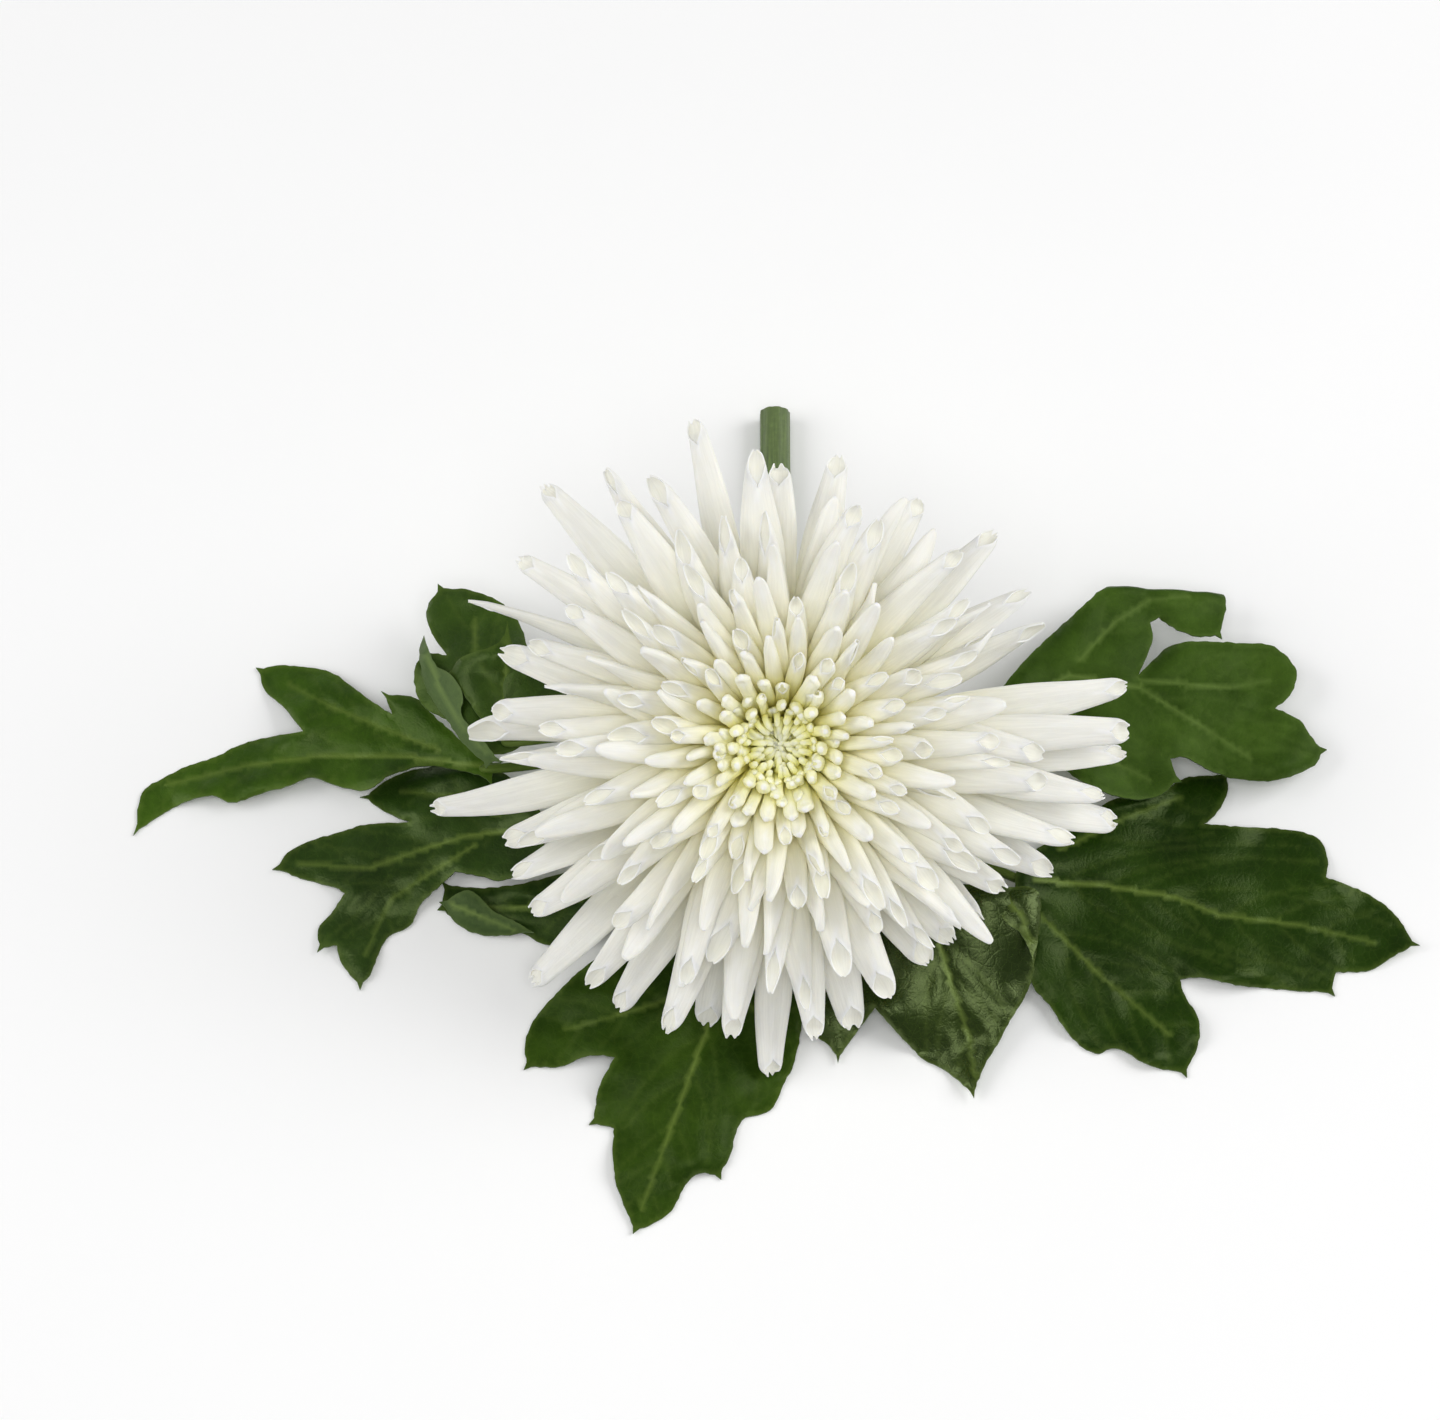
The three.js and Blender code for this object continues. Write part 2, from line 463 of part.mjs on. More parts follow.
function edgeDistance(poly, x, y) {
  let d = 1e9;
  for (let i = 0, j = poly.length - 1; i < poly.length; j = i++) {
    const [ax, ay] = poly[j], [bx, by] = poly[i], vx = bx - ax, vy = by - ay;
    const t = clamp(((x - ax) * vx + (y - ay) * vy) / (vx * vx + vy * vy), 0, 1);
    d = Math.min(d, Math.hypot(x - ax - vx * t, y - ay - vy * t));
  }
  return d;
}
function delaunay(P) {
  const n = P.length, pts = P.concat([[-5000, -5000], [9000, -5000], [720, 12000]]);
  const circ = (a, b, c) => {
    const [ax, ay] = pts[a], [bx, by] = pts[b], [cx, cy] = pts[c];
    const d = 2 * (ax * (by - cy) + bx * (cy - ay) + cx * (ay - by));
    const ux = ((ax * ax + ay * ay) * (by - cy) + (bx * bx + by * by) * (cy - ay) + (cx * cx + cy * cy) * (ay - by)) / d;
    const uy = ((ax * ax + ay * ay) * (cx - bx) + (bx * bx + by * by) * (ax - cx) + (cx * cx + cy * cy) * (bx - ax)) / d;
    return { t: [a, b, c], x: ux, y: uy, r2: (ax - ux) ** 2 + (ay - uy) ** 2 };
  };
  let T = [circ(n, n + 1, n + 2)];
  for (let i = 0; i < n; i++) {
    const [x, y] = pts[i], edges = new Map(), keep = [];
    for (const t of T) {
      if ((x - t.x) ** 2 + (y - t.y) ** 2 < t.r2 * (1 + 1e-12)) {
        for (let e = 0; e < 3; e++) {
          const a = t.t[e], b = t.t[(e + 1) % 3], key = a < b ? `${a}_${b}` : `${b}_${a}`;
          if (edges.has(key)) edges.set(key, null); else edges.set(key, [a, b]);
        }
      } else keep.push(t);
    }
    for (const e of edges.values()) if (e) keep.push(circ(e[0], e[1], i));
    T = keep;
  }
  return T.map((t) => t.t).filter((t) => t.every((v) => v < n));
}
function densify(poly, max) {
  const out = [];
  for (let i = 0; i < poly.length; i++) {
    const a = poly[i], b = poly[(i + 1) % poly.length], L = Math.hypot(b[0] - a[0], b[1] - a[1]), k = Math.max(1, Math.ceil(L / max));
    for (let q = 0; q < k; q++) out.push([lerp(a[0], b[0], q / k), lerp(a[1], b[1], q / k)]);
  }
  return out;
}
function blade(outline, ribs, zf, grid) {
  const poly = densify(outline, 60);
  const inner = [];
  const tryAdd = (x, y, edgeMin, ptMin) => {
    if (!inside(poly, x, y) || edgeDistance(poly, x, y) < edgeMin) return;
    for (const q of inner) if (Math.hypot(q[0] - x, q[1] - y) < ptMin) return;
    inner.push([x + 0.013 * inner.length, y + 0.007 * inner.length]);
  };
  for (const rib of ribs) for (const [x, y] of densify(rib.concat([rib[rib.length - 1]]).slice(0, -1), 48)) tryAdd(x, y, 13, 26);
  const xs = poly.map((p) => p[0]), ys = poly.map((p) => p[1]);
  for (let y = Math.min(...ys), row = 0; y < Math.max(...ys); y += grid * 0.87, row++) {
    for (let x = Math.min(...xs) + (row % 2) * grid / 2; x < Math.max(...xs); x += grid) tryAdd(x, y, grid * 0.42, grid * 0.62);
  }
  const P = poly.concat(inner);
  let tris = delaunay(P).filter(([a, b, c]) => inside(poly, (P[a][0] + P[b][0] + P[c][0]) / 3, (P[a][1] + P[b][1] + P[c][1]) / 3));
  tris = tris.filter(([a, b, c]) => Math.abs((P[b][0] - P[a][0]) * (P[c][1] - P[a][1]) - (P[c][0] - P[a][0]) * (P[b][1] - P[a][1])) > 8);
  const pos = [], idx = [], N = P.length;
  for (const [x, y] of P) { const p = planToWorld(x, y, zf(x, y)); pos.push(p.x, p.y, p.z); }
  for (const [x, y] of P) { const p = planToWorld(x, y, zf(x, y)); pos.push(p.x, p.y, p.z + LEAF_T); }
  const edges = new Map();
  for (let [a, b, c] of tris) {
    const ar = (P[b][0] - P[a][0]) * (P[c][1] - P[a][1]) - (P[c][0] - P[a][0]) * (P[b][1] - P[a][1]);
    if (ar < 0) [b, c] = [c, b];
    idx.push(a, b, c, a + N, c + N, b + N);
    for (const [p, q] of [[a, b], [b, c], [c, a]]) {
      const key = p < q ? `${p}_${q}` : `${q}_${p}`;
      if (edges.has(key)) edges.delete(key); else edges.set(key, [p, q]);
    }
  }
  for (const [p, q] of edges.values()) idx.push(q, p, p + N, q, p + N, q + N);
  // drop unused vertices
  const used = new Map(), pos2 = [];
  const idx2 = idx.map((v) => {
    if (!used.has(v)) { used.set(v, pos2.length / 3); pos2.push(pos[v * 3], pos[v * 3 + 1], pos[v * 3 + 2]); }
    return used.get(v);
  });
  return outward({ pos: pos2, idx: idx2 });
}

const LEAVES = [
  { name: 'leaf_front', hex: 0x34571d,
    outline: [[632, 930], [600, 955], [575, 975], [550, 1000], [531, 1025], [525, 1045], [527, 1066], [560, 1066], [590, 1055], [615, 1057], [600, 1085], [593, 1122], [614, 1128], [613, 1160], [618, 1190], [635, 1229], [650, 1225], [672, 1210], [685, 1185], [700, 1173], [719, 1175], [730, 1155], [742, 1120], [770, 1110], [783, 1085], [795, 1060], [802, 1020], [803, 985], [790, 955], [758, 938], [735, 955], [722, 975], [704, 972], [680, 945], [655, 930]],
    ribs: [[[718, 1000], [692, 1070], [665, 1145], [641, 1210]], [[700, 990], [618, 1015], [565, 1030]], [[730, 990], [770, 1020], [780, 1060]]],
    heights: [[718, 985, 7], [692, 1070, 4.2], [665, 1145, 2.6], [635, 1229, 0], [527, 1066, 0], [540, 1010, 1.5], [593, 1122, 0.3], [719, 1175, 0.8], [783, 1085, 0.3], [803, 985, 2.2], [632, 930, 5.5], [758, 938, 5.5], [770, 1030, 1.2]],
    stalk: { from: [716, 985, 7.4], y: 15, side: [-0.25, -1], clear: [3, 7], mid: [[714, 930, 9.5], [745, 840, 13]] } },
  { name: 'leaf_right_large', hex: 0x2f5119,
    outline: [[1020, 862], [1055, 838], [1090, 812], [1125, 796], [1160, 792], [1185, 778], [1225, 775], [1228, 790], [1215, 815], [1203, 824], [1245, 827], [1290, 830], [1320, 840], [1328, 860], [1326, 877], [1370, 895], [1395, 915], [1415, 944], [1390, 958], [1370, 970], [1336, 972], [1332, 992], [1290, 990], [1240, 985], [1200, 977], [1180, 979], [1185, 995], [1199, 1020], [1198, 1045], [1185, 1073], [1150, 1065], [1115, 1048], [1095, 1053], [1070, 1035], [1050, 1005], [1033, 985], [1026, 940], [1016, 900]],
    ribs: [[[1035, 880], [1100, 885], [1175, 897], [1220, 915], [1300, 925], [1375, 943]], [[1040, 915], [1100, 975], [1170, 1035]], [[1060, 850], [1120, 820], [1180, 797]]],
    heights: [[1018, 880, 7.5], [1100, 885, 4.8], [1220, 915, 3], [1415, 944, 0], [1328, 860, 0.8], [1228, 785, 0.6], [1332, 992, 0], [1185, 1073, 0], [1060, 1020, 1.6], [1125, 796, 2.6], [1180, 980, 1.8], [1055, 838, 6]],
    stalk: { from: [1022, 880, 7.6], y: 33, side: [1, 0], clear: [4, 7], mid: [[960, 850, 8.5], [870, 790, 8.5]] } },
  { name: 'leaf_front_right', hex: 0x27451a,
    outline: [[905, 905], [930, 890], [965, 884], [1000, 885], [1028, 895], [1038, 925], [1036, 955], [1028, 990], [1010, 1020], [1000, 1040], [985, 1065], [973, 1093], [945, 1070], [925, 1060], [900, 1035], [875, 1007], [858, 1030], [838, 1058], [828, 1044], [813, 1034], [816, 1005], [838, 962], [864, 930]],
    ribs: [[[930, 910], [950, 980], [970, 1040], [974, 1075]]],
    heights: [[930, 895, 15], [950, 980, 9], [973, 1093, 0], [875, 1005, 4.5], [1036, 925, 12.5], [1030, 980, 8.5], [1005, 1030, 4], [905, 1040, 2.5], [838, 1058, 0.8], [816, 1020, 2.6], [840, 965, 5.4]],
    stalk: { from: [932, 903, 14.6], y: 17.5, side: [0.8, -0.6], clear: [3, 6], mid: [[896, 830, 16.5], [835, 770, 16]] } },
  { name: 'leaf_right_upper', hex: 0x4a7426,
    outline: [[1000, 690], [1030, 655], [1070, 620], [1120, 592], [1170, 590], [1208, 602], [1212, 622], [1182, 633], [1240, 640], [1270, 645], [1290, 660], [1297, 675], [1290, 695], [1275, 708], [1300, 720], [1310, 735], [1322, 750], [1315, 765], [1273, 780], [1235, 778], [1210, 770], [1185, 757], [1170, 758], [1177, 780], [1160, 795], [1125, 798], [1080, 780], [1040, 745], [1010, 715]],
    ribs: [[[1040, 690], [1070, 675], [1140, 688], [1200, 725], [1250, 758]], [[1140, 680], [1230, 688], [1270, 680]], [[1080, 660], [1130, 615], [1180, 610]], [[1060, 700], [1110, 760], [1150, 780]]],
    heights: [[1002, 695, 14], [1140, 688, 11], [1200, 725, 9], [1322, 750, 6], [1297, 675, 7], [1210, 608, 9], [1120, 592, 12], [1160, 795, 8.5], [1273, 780, 6.5], [1080, 780, 12.5]],
    stalk: { from: [1006, 700, 14.4], y: 24, side: [0.9, 0.35], clear: [4, 5], mid: [[930, 715, 16.5], [860, 720, 16.5]] } },
  { name: 'leaf_left_lower', hex: 0x29481a,
    outline: [[503, 880], [480, 876], [455, 871], [440, 885], [420, 905], [410, 925], [390, 935], [380, 950], [370, 975], [360, 985], [350, 975], [340, 960], [337, 945], [320, 948], [318, 930], [330, 915], [345, 893], [335, 887], [300, 878], [277, 868], [287, 853], [307, 842], [340, 832], [365, 825], [410, 822], [386, 812], [365, 797], [395, 776], [440, 766], [490, 768], [530, 795], [545, 830], [535, 865]],
    ribs: [[[525, 830], [470, 835], [420, 850], [370, 868], [300, 864]], [[475, 845], [420, 880], [390, 900], [365, 955]], [[500, 815], [450, 795], [400, 792]]],
    heights: [[540, 835, 7.5], [450, 845, 4], [370, 866, 1.8], [277, 868, 0], [360, 985, 0], [318, 940, 0.4], [365, 797, 0.5], [490, 768, 3.6], [440, 885, 3.2], [500, 878, 5]],
    stalk: { from: [534, 834, 7.4], y: 29, side: [-1, 0], clear: [4, 7], mid: [[600, 808, 8.5], [690, 775, 8.5]] } },
  { name: 'leaf_left_small', hex: 0x2b4b20,
    outline: [[445, 885], [442, 908], [465, 928], [485, 933], [520, 932], [545, 944], [575, 945], [600, 930], [622, 905], [626, 885], [600, 868], [560, 874], [520, 884], [480, 888]],
    ribs: [[[600, 893], [560, 903], [510, 908], [470, 905]]],
    heights: [[622, 890, 7], [560, 905, 3.6], [510, 908, 1.3], [445, 900, 0], [545, 942, 1.4], [520, 886, 1.9], [485, 932, 0.2], [560, 876, 3.4]],
    stalk: { from: [613, 890, 6.2], y: 20, side: [-0.85, -0.55], clear: [3, 6], mid: [[660, 850, 10.5], [715, 790, 13]] } },
  { name: 'leaf_left_upper', hex: 0x33561d,
    outline: [[497, 764], [480, 757], [455, 735], [430, 712], [415, 698], [385, 694], [392, 714], [370, 700], [350, 685], [330, 672], [281, 665], [260, 670], [265, 690], [285, 708], [303, 731], [270, 737], [240, 745], [215, 757], [190, 765], [165, 777], [142, 793], [136, 831], [165, 812], [190, 800], [212, 795], [232, 802], [262, 793], [290, 785], [312, 777], [330, 783], [365, 790], [390, 775], [425, 766], [470, 772], [490, 780]],
    ribs: [[[480, 766], [410, 757], [320, 756], [250, 765], [165, 785]], [[440, 750], [400, 735], [330, 706], [290, 685]]],
    heights: [[490, 768, 9.5], [425, 750, 7.4], [330, 718, 4.6], [262, 678, 1.2], [330, 765, 4.4], [240, 768, 2.4], [136, 831, 0], [365, 790, 4.2], [385, 697, 5.5]],
    stalk: { from: [486, 769, 9.2], y: 41, side: [-1, 0.1], clear: [4, 7], mid: [[570, 758, 8], [680, 715, 6.5]] } },
  { name: 'leaf_left_curled', hex: 0x41692a,
    outline: [[440, 588], [426, 612], [436, 640], [447, 655], [424, 652], [414, 672], [422, 704], [450, 722], [468, 742], [486, 753], [508, 752], [530, 738], [556, 720], [568, 690], [556, 672], [530, 682], [528, 655], [520, 625], [500, 602], [470, 590]],
    ribs: [[[508, 735], [490, 700], [475, 655], [475, 620]]],
    heights: [[500, 748, 16], [490, 700, 17], [475, 650, 17.5], [475, 605, 14], [422, 665, 14], [440, 615, 13], [548, 680, 20], [455, 725, 15.5]],
    stalk: { from: [506, 742, 16.4], y: 14, side: [-0.9, 0.4], clear: [4, 5], mid: [[580, 735, 19], [690, 735, 20]] } },
];
for (const L of LEAVES) {
  const zf = heightField(L.heights);
  const b = blade(L.outline, L.ribs, zf, 58);
  const s = stemAt(L.stalk.y);
  const up = new THREE.Vector3().crossVectors(RIGHT, s.t).normalize();
  const out = RIGHT.clone().multiplyScalar(L.stalk.side[0]).addScaledVector(up, L.stalk.side[1]).normalize();
  const joint = s.p.clone().addScaledVector(out, STEM_R + GAP + 0.25);
  const knee = s.p.clone().addScaledVector(out, STEM_R + 2.1).addScaledVector(s.t, -0.5);
  const near = s.p.clone().addScaledVector(out, STEM_R + L.stalk.clear[0]).addScaledVector(s.t, -L.stalk.clear[1]);
  const start = planToWorld(...L.stalk.from.slice(0, 2), L.stalk.from[2] + LEAF_T * 0.5);
  const rib = L.ribs[0];
  const ribEnd = rib[Math.min(2, rib.length - 1)], ribMid = rib[1];
  const curve = new THREE.CatmullRomCurve3([
    start, ...L.stalk.mid.map(([x, y, z]) => planToWorld(x, y, z)), near, knee,
  ], false, 'centripetal');
  const pts = [...curve.getPoints(8), joint];
  // the stalk runs on a little way as a raised rib under the blade
  const onBlade = [ribEnd, ribMid].map(([x, y]) => planToWorld(x, y, zf(x, y) + LEAF_T * 0.5));
  const all = [...onBlade, ...pts];
  const radii = all.map((_, i) => (i === 0 ? 0.5 : i === 1 ? 0.8 : lerp(1.0, PETIOLE_R * 1.25, (i - 1) / (all.length - 2))));
  const stalk = outward(tube(all, radii, 6, new THREE.Vector3(0.13, 0.2, 1)));
  parts.push({ name: L.name, mesh: unite([b, stalk]), material: green(L.hex, 'leaf') });
}

// ---------------------------------------------------------------- assemble, origin under the middle of the bounding box
const group = new THREE.Group();
group.name = 'chrysanthemum';
const box = new THREE.Box3();
for (const { mesh } of parts) for (let i = 0; i < mesh.pos.length; i += 3) box.expandByPoint(new THREE.Vector3(mesh.pos[i], mesh.pos[i + 1], mesh.pos[i + 2]));
const shift = new THREE.Vector3(-(box.min.x + box.max.x) / 2, -(box.min.y + box.max.y) / 2, -box.min.z);
for (const { name, mesh, material } of parts) {
  const g = new THREE.BufferGeometry();
  const a = new Float32Array(mesh.pos.length);
  for (let i = 0; i < a.length; i += 3) {
    a[i] = mesh.pos[i] + shift.x; a[i + 1] = mesh.pos[i + 1] + shift.y; a[i + 2] = mesh.pos[i + 2] + shift.z;
  }
  g.setAttribute('position', new THREE.BufferAttribute(a, 3));
  g.setIndex(mesh.idx);
  g.computeVertexNormals();
  const m = new THREE.Mesh(g, material);
  m.name = name;
  group.add(m);
}
export default group;
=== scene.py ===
import math

import bpy
import numpy as np
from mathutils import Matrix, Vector
from mathutils.geometry import delaunay_2d_cdt


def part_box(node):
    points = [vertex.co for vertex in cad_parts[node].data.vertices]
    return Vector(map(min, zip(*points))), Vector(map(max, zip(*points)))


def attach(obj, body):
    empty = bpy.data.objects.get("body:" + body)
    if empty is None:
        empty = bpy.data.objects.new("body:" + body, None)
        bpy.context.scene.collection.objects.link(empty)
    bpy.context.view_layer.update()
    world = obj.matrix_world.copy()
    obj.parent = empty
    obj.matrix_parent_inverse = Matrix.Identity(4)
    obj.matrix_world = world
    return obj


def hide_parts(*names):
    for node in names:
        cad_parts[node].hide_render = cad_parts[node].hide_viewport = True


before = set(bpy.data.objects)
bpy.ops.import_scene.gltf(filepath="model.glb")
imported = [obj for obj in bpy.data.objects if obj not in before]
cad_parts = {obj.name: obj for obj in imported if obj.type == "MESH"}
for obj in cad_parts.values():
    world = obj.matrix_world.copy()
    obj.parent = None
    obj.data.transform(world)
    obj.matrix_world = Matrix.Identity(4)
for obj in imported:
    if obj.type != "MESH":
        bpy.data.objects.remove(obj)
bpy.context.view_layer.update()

# ------------------------------------------------------------------ the plan the CAD was drawn from, in millimetres
HEAD_HEIGHT = 39.0
HEAD_ELEV = math.radians(62.0)
VIEW_ELEV = math.radians(65.5)
VIEW_DIST = 1200.0
SCALE = 0.2
EYE = (778.0, 740.0)
CENTRE = (720.0, 710.0)
DOME_R, DOME_H, GAP = 11.0, 8.0, 0.3
STEM_R = 3.2
STEM_END_Y = 92.0

X = np.array([1.0, 0.0, 0.0])
AXIS = np.array([0.0, -math.cos(HEAD_ELEV), math.sin(HEAD_ELEV)])
UP = np.array([0.0, math.sin(HEAD_ELEV), math.cos(HEAD_ELEV)])
VUP = np.array([0.0, math.sin(VIEW_ELEV), math.cos(VIEW_ELEV)])
VDIR = np.array([0.0, -math.cos(VIEW_ELEV), math.sin(VIEW_ELEV)])
HEAD = np.array([0.0, 0.0, HEAD_HEIGHT])
VIEWPOINT = HEAD + X * (CENTRE[0] - EYE[0]) * SCALE + VUP * (EYE[1] - CENTRE[1]) * SCALE + VDIR * VIEW_DIST


def smooth(a, b, x):
    t = np.clip((np.asarray(x, float) - a) / (b - a), 0, 1)
    return t * t * (3 - 2 * t)


def head_point(az, r, w):
    az, r, w = np.broadcast_arrays(np.asarray(az, float), np.asarray(r, float), np.asarray(w, float))
    return HEAD + (r * np.cos(az))[..., None] * X + (r * np.sin(az))[..., None] * UP + w[..., None] * AXIS


# the row's origin is under the middle of its box: find it from two CAD nodes
_profile = [(4.6, 7.1), (7.9, 5.4), (10.0, 3.0), (10.85, 0.2), (10.2, -3.2), (7.6, -6.4), (4.9, -9.2), (3.7, -11.9)]
_ring = np.concatenate([head_point(np.arange(18) / 18 * 2 * math.pi, r, w) for r, w in _profile])
_rlo, _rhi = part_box("receptacle")
_slo, _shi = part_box("stem")
SHIFT = np.array([(_slo.x + _shi.x) * 500, _shi.y * 1000 - STEM_END_Y, _rhi.z * 1000 - _ring[:, 2].max()])


class Rng:
    """The CAD's own number stream, so that each floret lies where its solid does."""

    def __init__(self, seed):
        self.s = seed & 0xFFFFFFFF

    def __call__(self):
        self.s = (self.s + 0x6D2B79F5) & 0xFFFFFFFF
        t = self.s
        t = ((t ^ (t >> 15)) * (t | 1)) & 0xFFFFFFFF
        t = (t ^ ((t + (((t ^ (t >> 7)) * (t | 61)) & 0xFFFFFFFF)) & 0xFFFFFFFF)) & 0xFFFFFFFF
        return ((t ^ (t >> 14)) & 0xFFFFFFFF) / 4294967296


def lerp(a, b, t):
    return a + (b - a) * t


# ------------------------------------------------------------------ making objects
def build(name, verts, faces, mats, colors=None, attrs=None, face_mat=None, sharp=None):
    """verts in millimetres in the drawing frame, to a mesh object in metres in the row's frame."""
    me = bpy.data.meshes.new(name)
    v = (np.asarray(verts) + SHIFT) / 1000.0
    me.vertices.add(len(v))
    me.vertices.foreach_set("co", v.astype(np.float32).ravel())
    sizes = np.array([len(f) for f in faces], np.int32)
    flat = np.concatenate([np.asarray(f, np.int32) for f in faces]) if not isinstance(faces, np.ndarray) else faces.astype(np.int32).ravel()
    me.loops.add(len(flat))
    me.loops.foreach_set("vertex_index", flat)
    me.polygons.add(len(sizes))
    starts = np.concatenate([[0], np.cumsum(sizes)[:-1]]).astype(np.int32)
    me.polygons.foreach_set("loop_start", starts)
    me.polygons.foreach_set("loop_total", sizes)
    me.update(calc_edges=True)
    me.validate()
    for m in mats:
        me.materials.append(m)
    if face_mat is not None:
        me.polygons.foreach_set("material_index", np.asarray(face_mat, np.int32))
    me.polygons.foreach_set("use_smooth", np.ones(len(me.polygons), bool))
    if sharp:
        me.set_sharp_from_angle(angle=math.radians(sharp))
    if colors is not None:
        a = me.attributes.new("tint", "FLOAT_COLOR", "POINT")
        c = np.ones((len(v), 4), np.float32)
        c[:, :3] = colors
        a.data.foreach_set("color", c.ravel())
    for key, val in (attrs or {}).items():
        val = np.asarray(val, np.float32)
        if val.ndim == 1:
            a = me.attributes.new(key, "FLOAT", "POINT")
            a.data.foreach_set("value", val)
        else:
            a = me.attributes.new(key, "FLOAT_VECTOR", "POINT")
            a.data.foreach_set("vector", val.ravel())
    ob = bpy.data.objects.new(name, me)
    bpy.context.scene.collection.objects.link(ob)
    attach(ob, "root")
    return ob


class Soup:
    """Collects closed shells with their attributes into one mesh."""

    def __init__(self):
        self.v, self.f, self.c, self.uv, self.k, self.n = [], [], [], [], [], 0

    def add(self, v, f, c, uv, k):
        self.v.append(v)
        self.f.extend((np.asarray(q) + self.n) for q in f)
        self.c.append(c)
        self.uv.append(uv)
        self.k.append(k)
        self.n += len(v)

    def build(self, name, mats, sharp=55):
        return build(name, np.concatenate(self.v), self.f, mats, np.concatenate(self.c),
                     {"fuv": np.concatenate(self.uv), "rim_highlight": np.concatenate(self.k)}, sharp=sharp)


# ------------------------------------------------------------------ materials
def new_mat(name):
    m = bpy.data.materials.new(name)
    m.use_nodes = True
    nt = m.node_tree
    nt.nodes.clear()
    out = nt.nodes.new("ShaderNodeOutputMaterial")
    p = nt.nodes.new("ShaderNodeBsdfPrincipled")
    nt.links.new(p.outputs[0], out.inputs[0])
    return m, nt, p


def node(nt, kind, **inputs):
    n = nt.nodes.new(kind)
    for k, v in inputs.items():
        key = k.replace("_", " ")
        if key in n.inputs:
            n.inputs[key].default_value = v
        else:
            setattr(n, k, v)
    return n


def attribute(nt, name):
    a = nt.nodes.new("ShaderNodeAttribute")
    a.attribute_type = "GEOMETRY"
    a.attribute_name = name
    return a


def mixrgb(nt, fac, a, b, blend="MIX"):
    m = nt.nodes.new("ShaderNodeMix")
    m.data_type = "RGBA"
    m.blend_type = blend
    m.clamp_result = False
    for sock, val in ((m.inputs[0], fac), (m.inputs[6], a), (m.inputs[7], b)):
        if isinstance(val, bpy.types.NodeSocket):
            nt.links.new(val, sock)
        elif isinstance(val, (int, float)):
            sock.default_value = val
        else:
            sock.default_value = (*val, 1.0)
    return m.outputs[2]


def math_node(nt, op, a, b=None, clamp=False):
    m = nt.nodes.new("ShaderNodeMath")
    m.operation = op
    m.use_clamp = clamp
    for sock, val in ((m.inputs[0], a), (m.inputs[1], b)):
        if val is None:
            continue
        if isinstance(val, bpy.types.NodeSocket):
            nt.links.new(val, sock)
        else:
            sock.default_value = val
    return m.outputs[0]


def ramp(nt, fac, stops, interp="LINEAR"):
    r = nt.nodes.new("ShaderNodeValToRGB")
    r.color_ramp.interpolation = interp
    el = r.color_ramp.elements
    while len(el) < len(stops):
        el.new(0.5)
    for e, (p, c) in zip(el, stops):
        e.position = p
        e.color = (*c, 1.0) if len(c) == 3 else c
    nt.links.new(fac, r.inputs[0])
    return r.outputs[0]


def petal_material(name, rough, sss, streak, bump):
    """Waxy ray floret: fine veins running lengthwise, a soft mottle, and a painted highlight along the rim round the
    mouth, at the tip and on a shut seam.
    """
    m, nt, p = new_mat(name)
    tint, fuv, rim_highlight = attribute(nt, "tint"), attribute(nt, "fuv"), attribute(nt, "rim_highlight")
    mp = nt.nodes.new("ShaderNodeMapping")
    mp.inputs["Scale"].default_value = (0.045, 2.6, 1.0)
    nt.links.new(fuv.outputs["Vector"], mp.inputs[0])
    veins = node(nt, "ShaderNodeTexNoise", Scale=3.2, Detail=3.0, Roughness=0.6)
    nt.links.new(mp.outputs[0], veins.inputs["Vector"])
    mp2 = nt.nodes.new("ShaderNodeMapping")
    mp2.inputs["Scale"].default_value = (0.12, 0.5, 1.0)
    nt.links.new(fuv.outputs["Vector"], mp2.inputs[0])
    cloud = node(nt, "ShaderNodeTexNoise", Scale=2.0, Detail=2.0)
    nt.links.new(mp2.outputs[0], cloud.inputs["Vector"])
    v = ramp(nt, veins.outputs["Fac"], [(0.30, (1 - streak,) * 3), (0.62, (1.0, 1.0, 1.0))])
    c1 = mixrgb(nt, 1.0, tint.outputs["Color"], v, "MULTIPLY")
    cl = ramp(nt, cloud.outputs["Fac"], [(0.3, (0.985, 0.985, 0.975)), (0.7, (1.0, 1.0, 1.0))])
    c2 = mixrgb(nt, 1.0, c1, cl, "MULTIPLY")
    # painted highlight: where the rim attribute is set, the colour is pulled towards near-white
    c3 = mixrgb(nt, math_node(nt, "MULTIPLY", rim_highlight.outputs["Fac"], 0.8), c2, (0.985, 0.985, 0.97))
    nt.links.new(c3, p.inputs["Base Color"])
    rg = ramp(nt, cloud.outputs["Fac"], [(0.25, (rough - 0.07,) * 3), (0.75, (rough + 0.07,) * 3)])
    nt.links.new(rg, p.inputs["Roughness"])
    b = nt.nodes.new("ShaderNodeBump")
    b.inputs["Strength"].default_value = bump
    b.inputs["Distance"].default_value = 0.00022
    nt.links.new(veins.outputs["Fac"], b.inputs["Height"])
    nt.links.new(b.outputs[0], p.inputs["Normal"])
    p.inputs["Subsurface Weight"].default_value = sss
    p.inputs["Subsurface Radius"].default_value = (1.0, 0.92, 0.72)
    p.inputs["Subsurface Scale"].default_value = 0.0009
    p.inputs["Specular IOR Level"].default_value = 0.35
    return m


MAT_OUTER = petal_material("petal_outer", 0.50, 0.38, 0.085, 0.36)
MAT_PETAL = petal_material("petal", 0.48, 0.42, 0.075, 0.30)
MAT_EYE = petal_material("petal_eye", 0.52, 0.50, 0.04, 0.18)

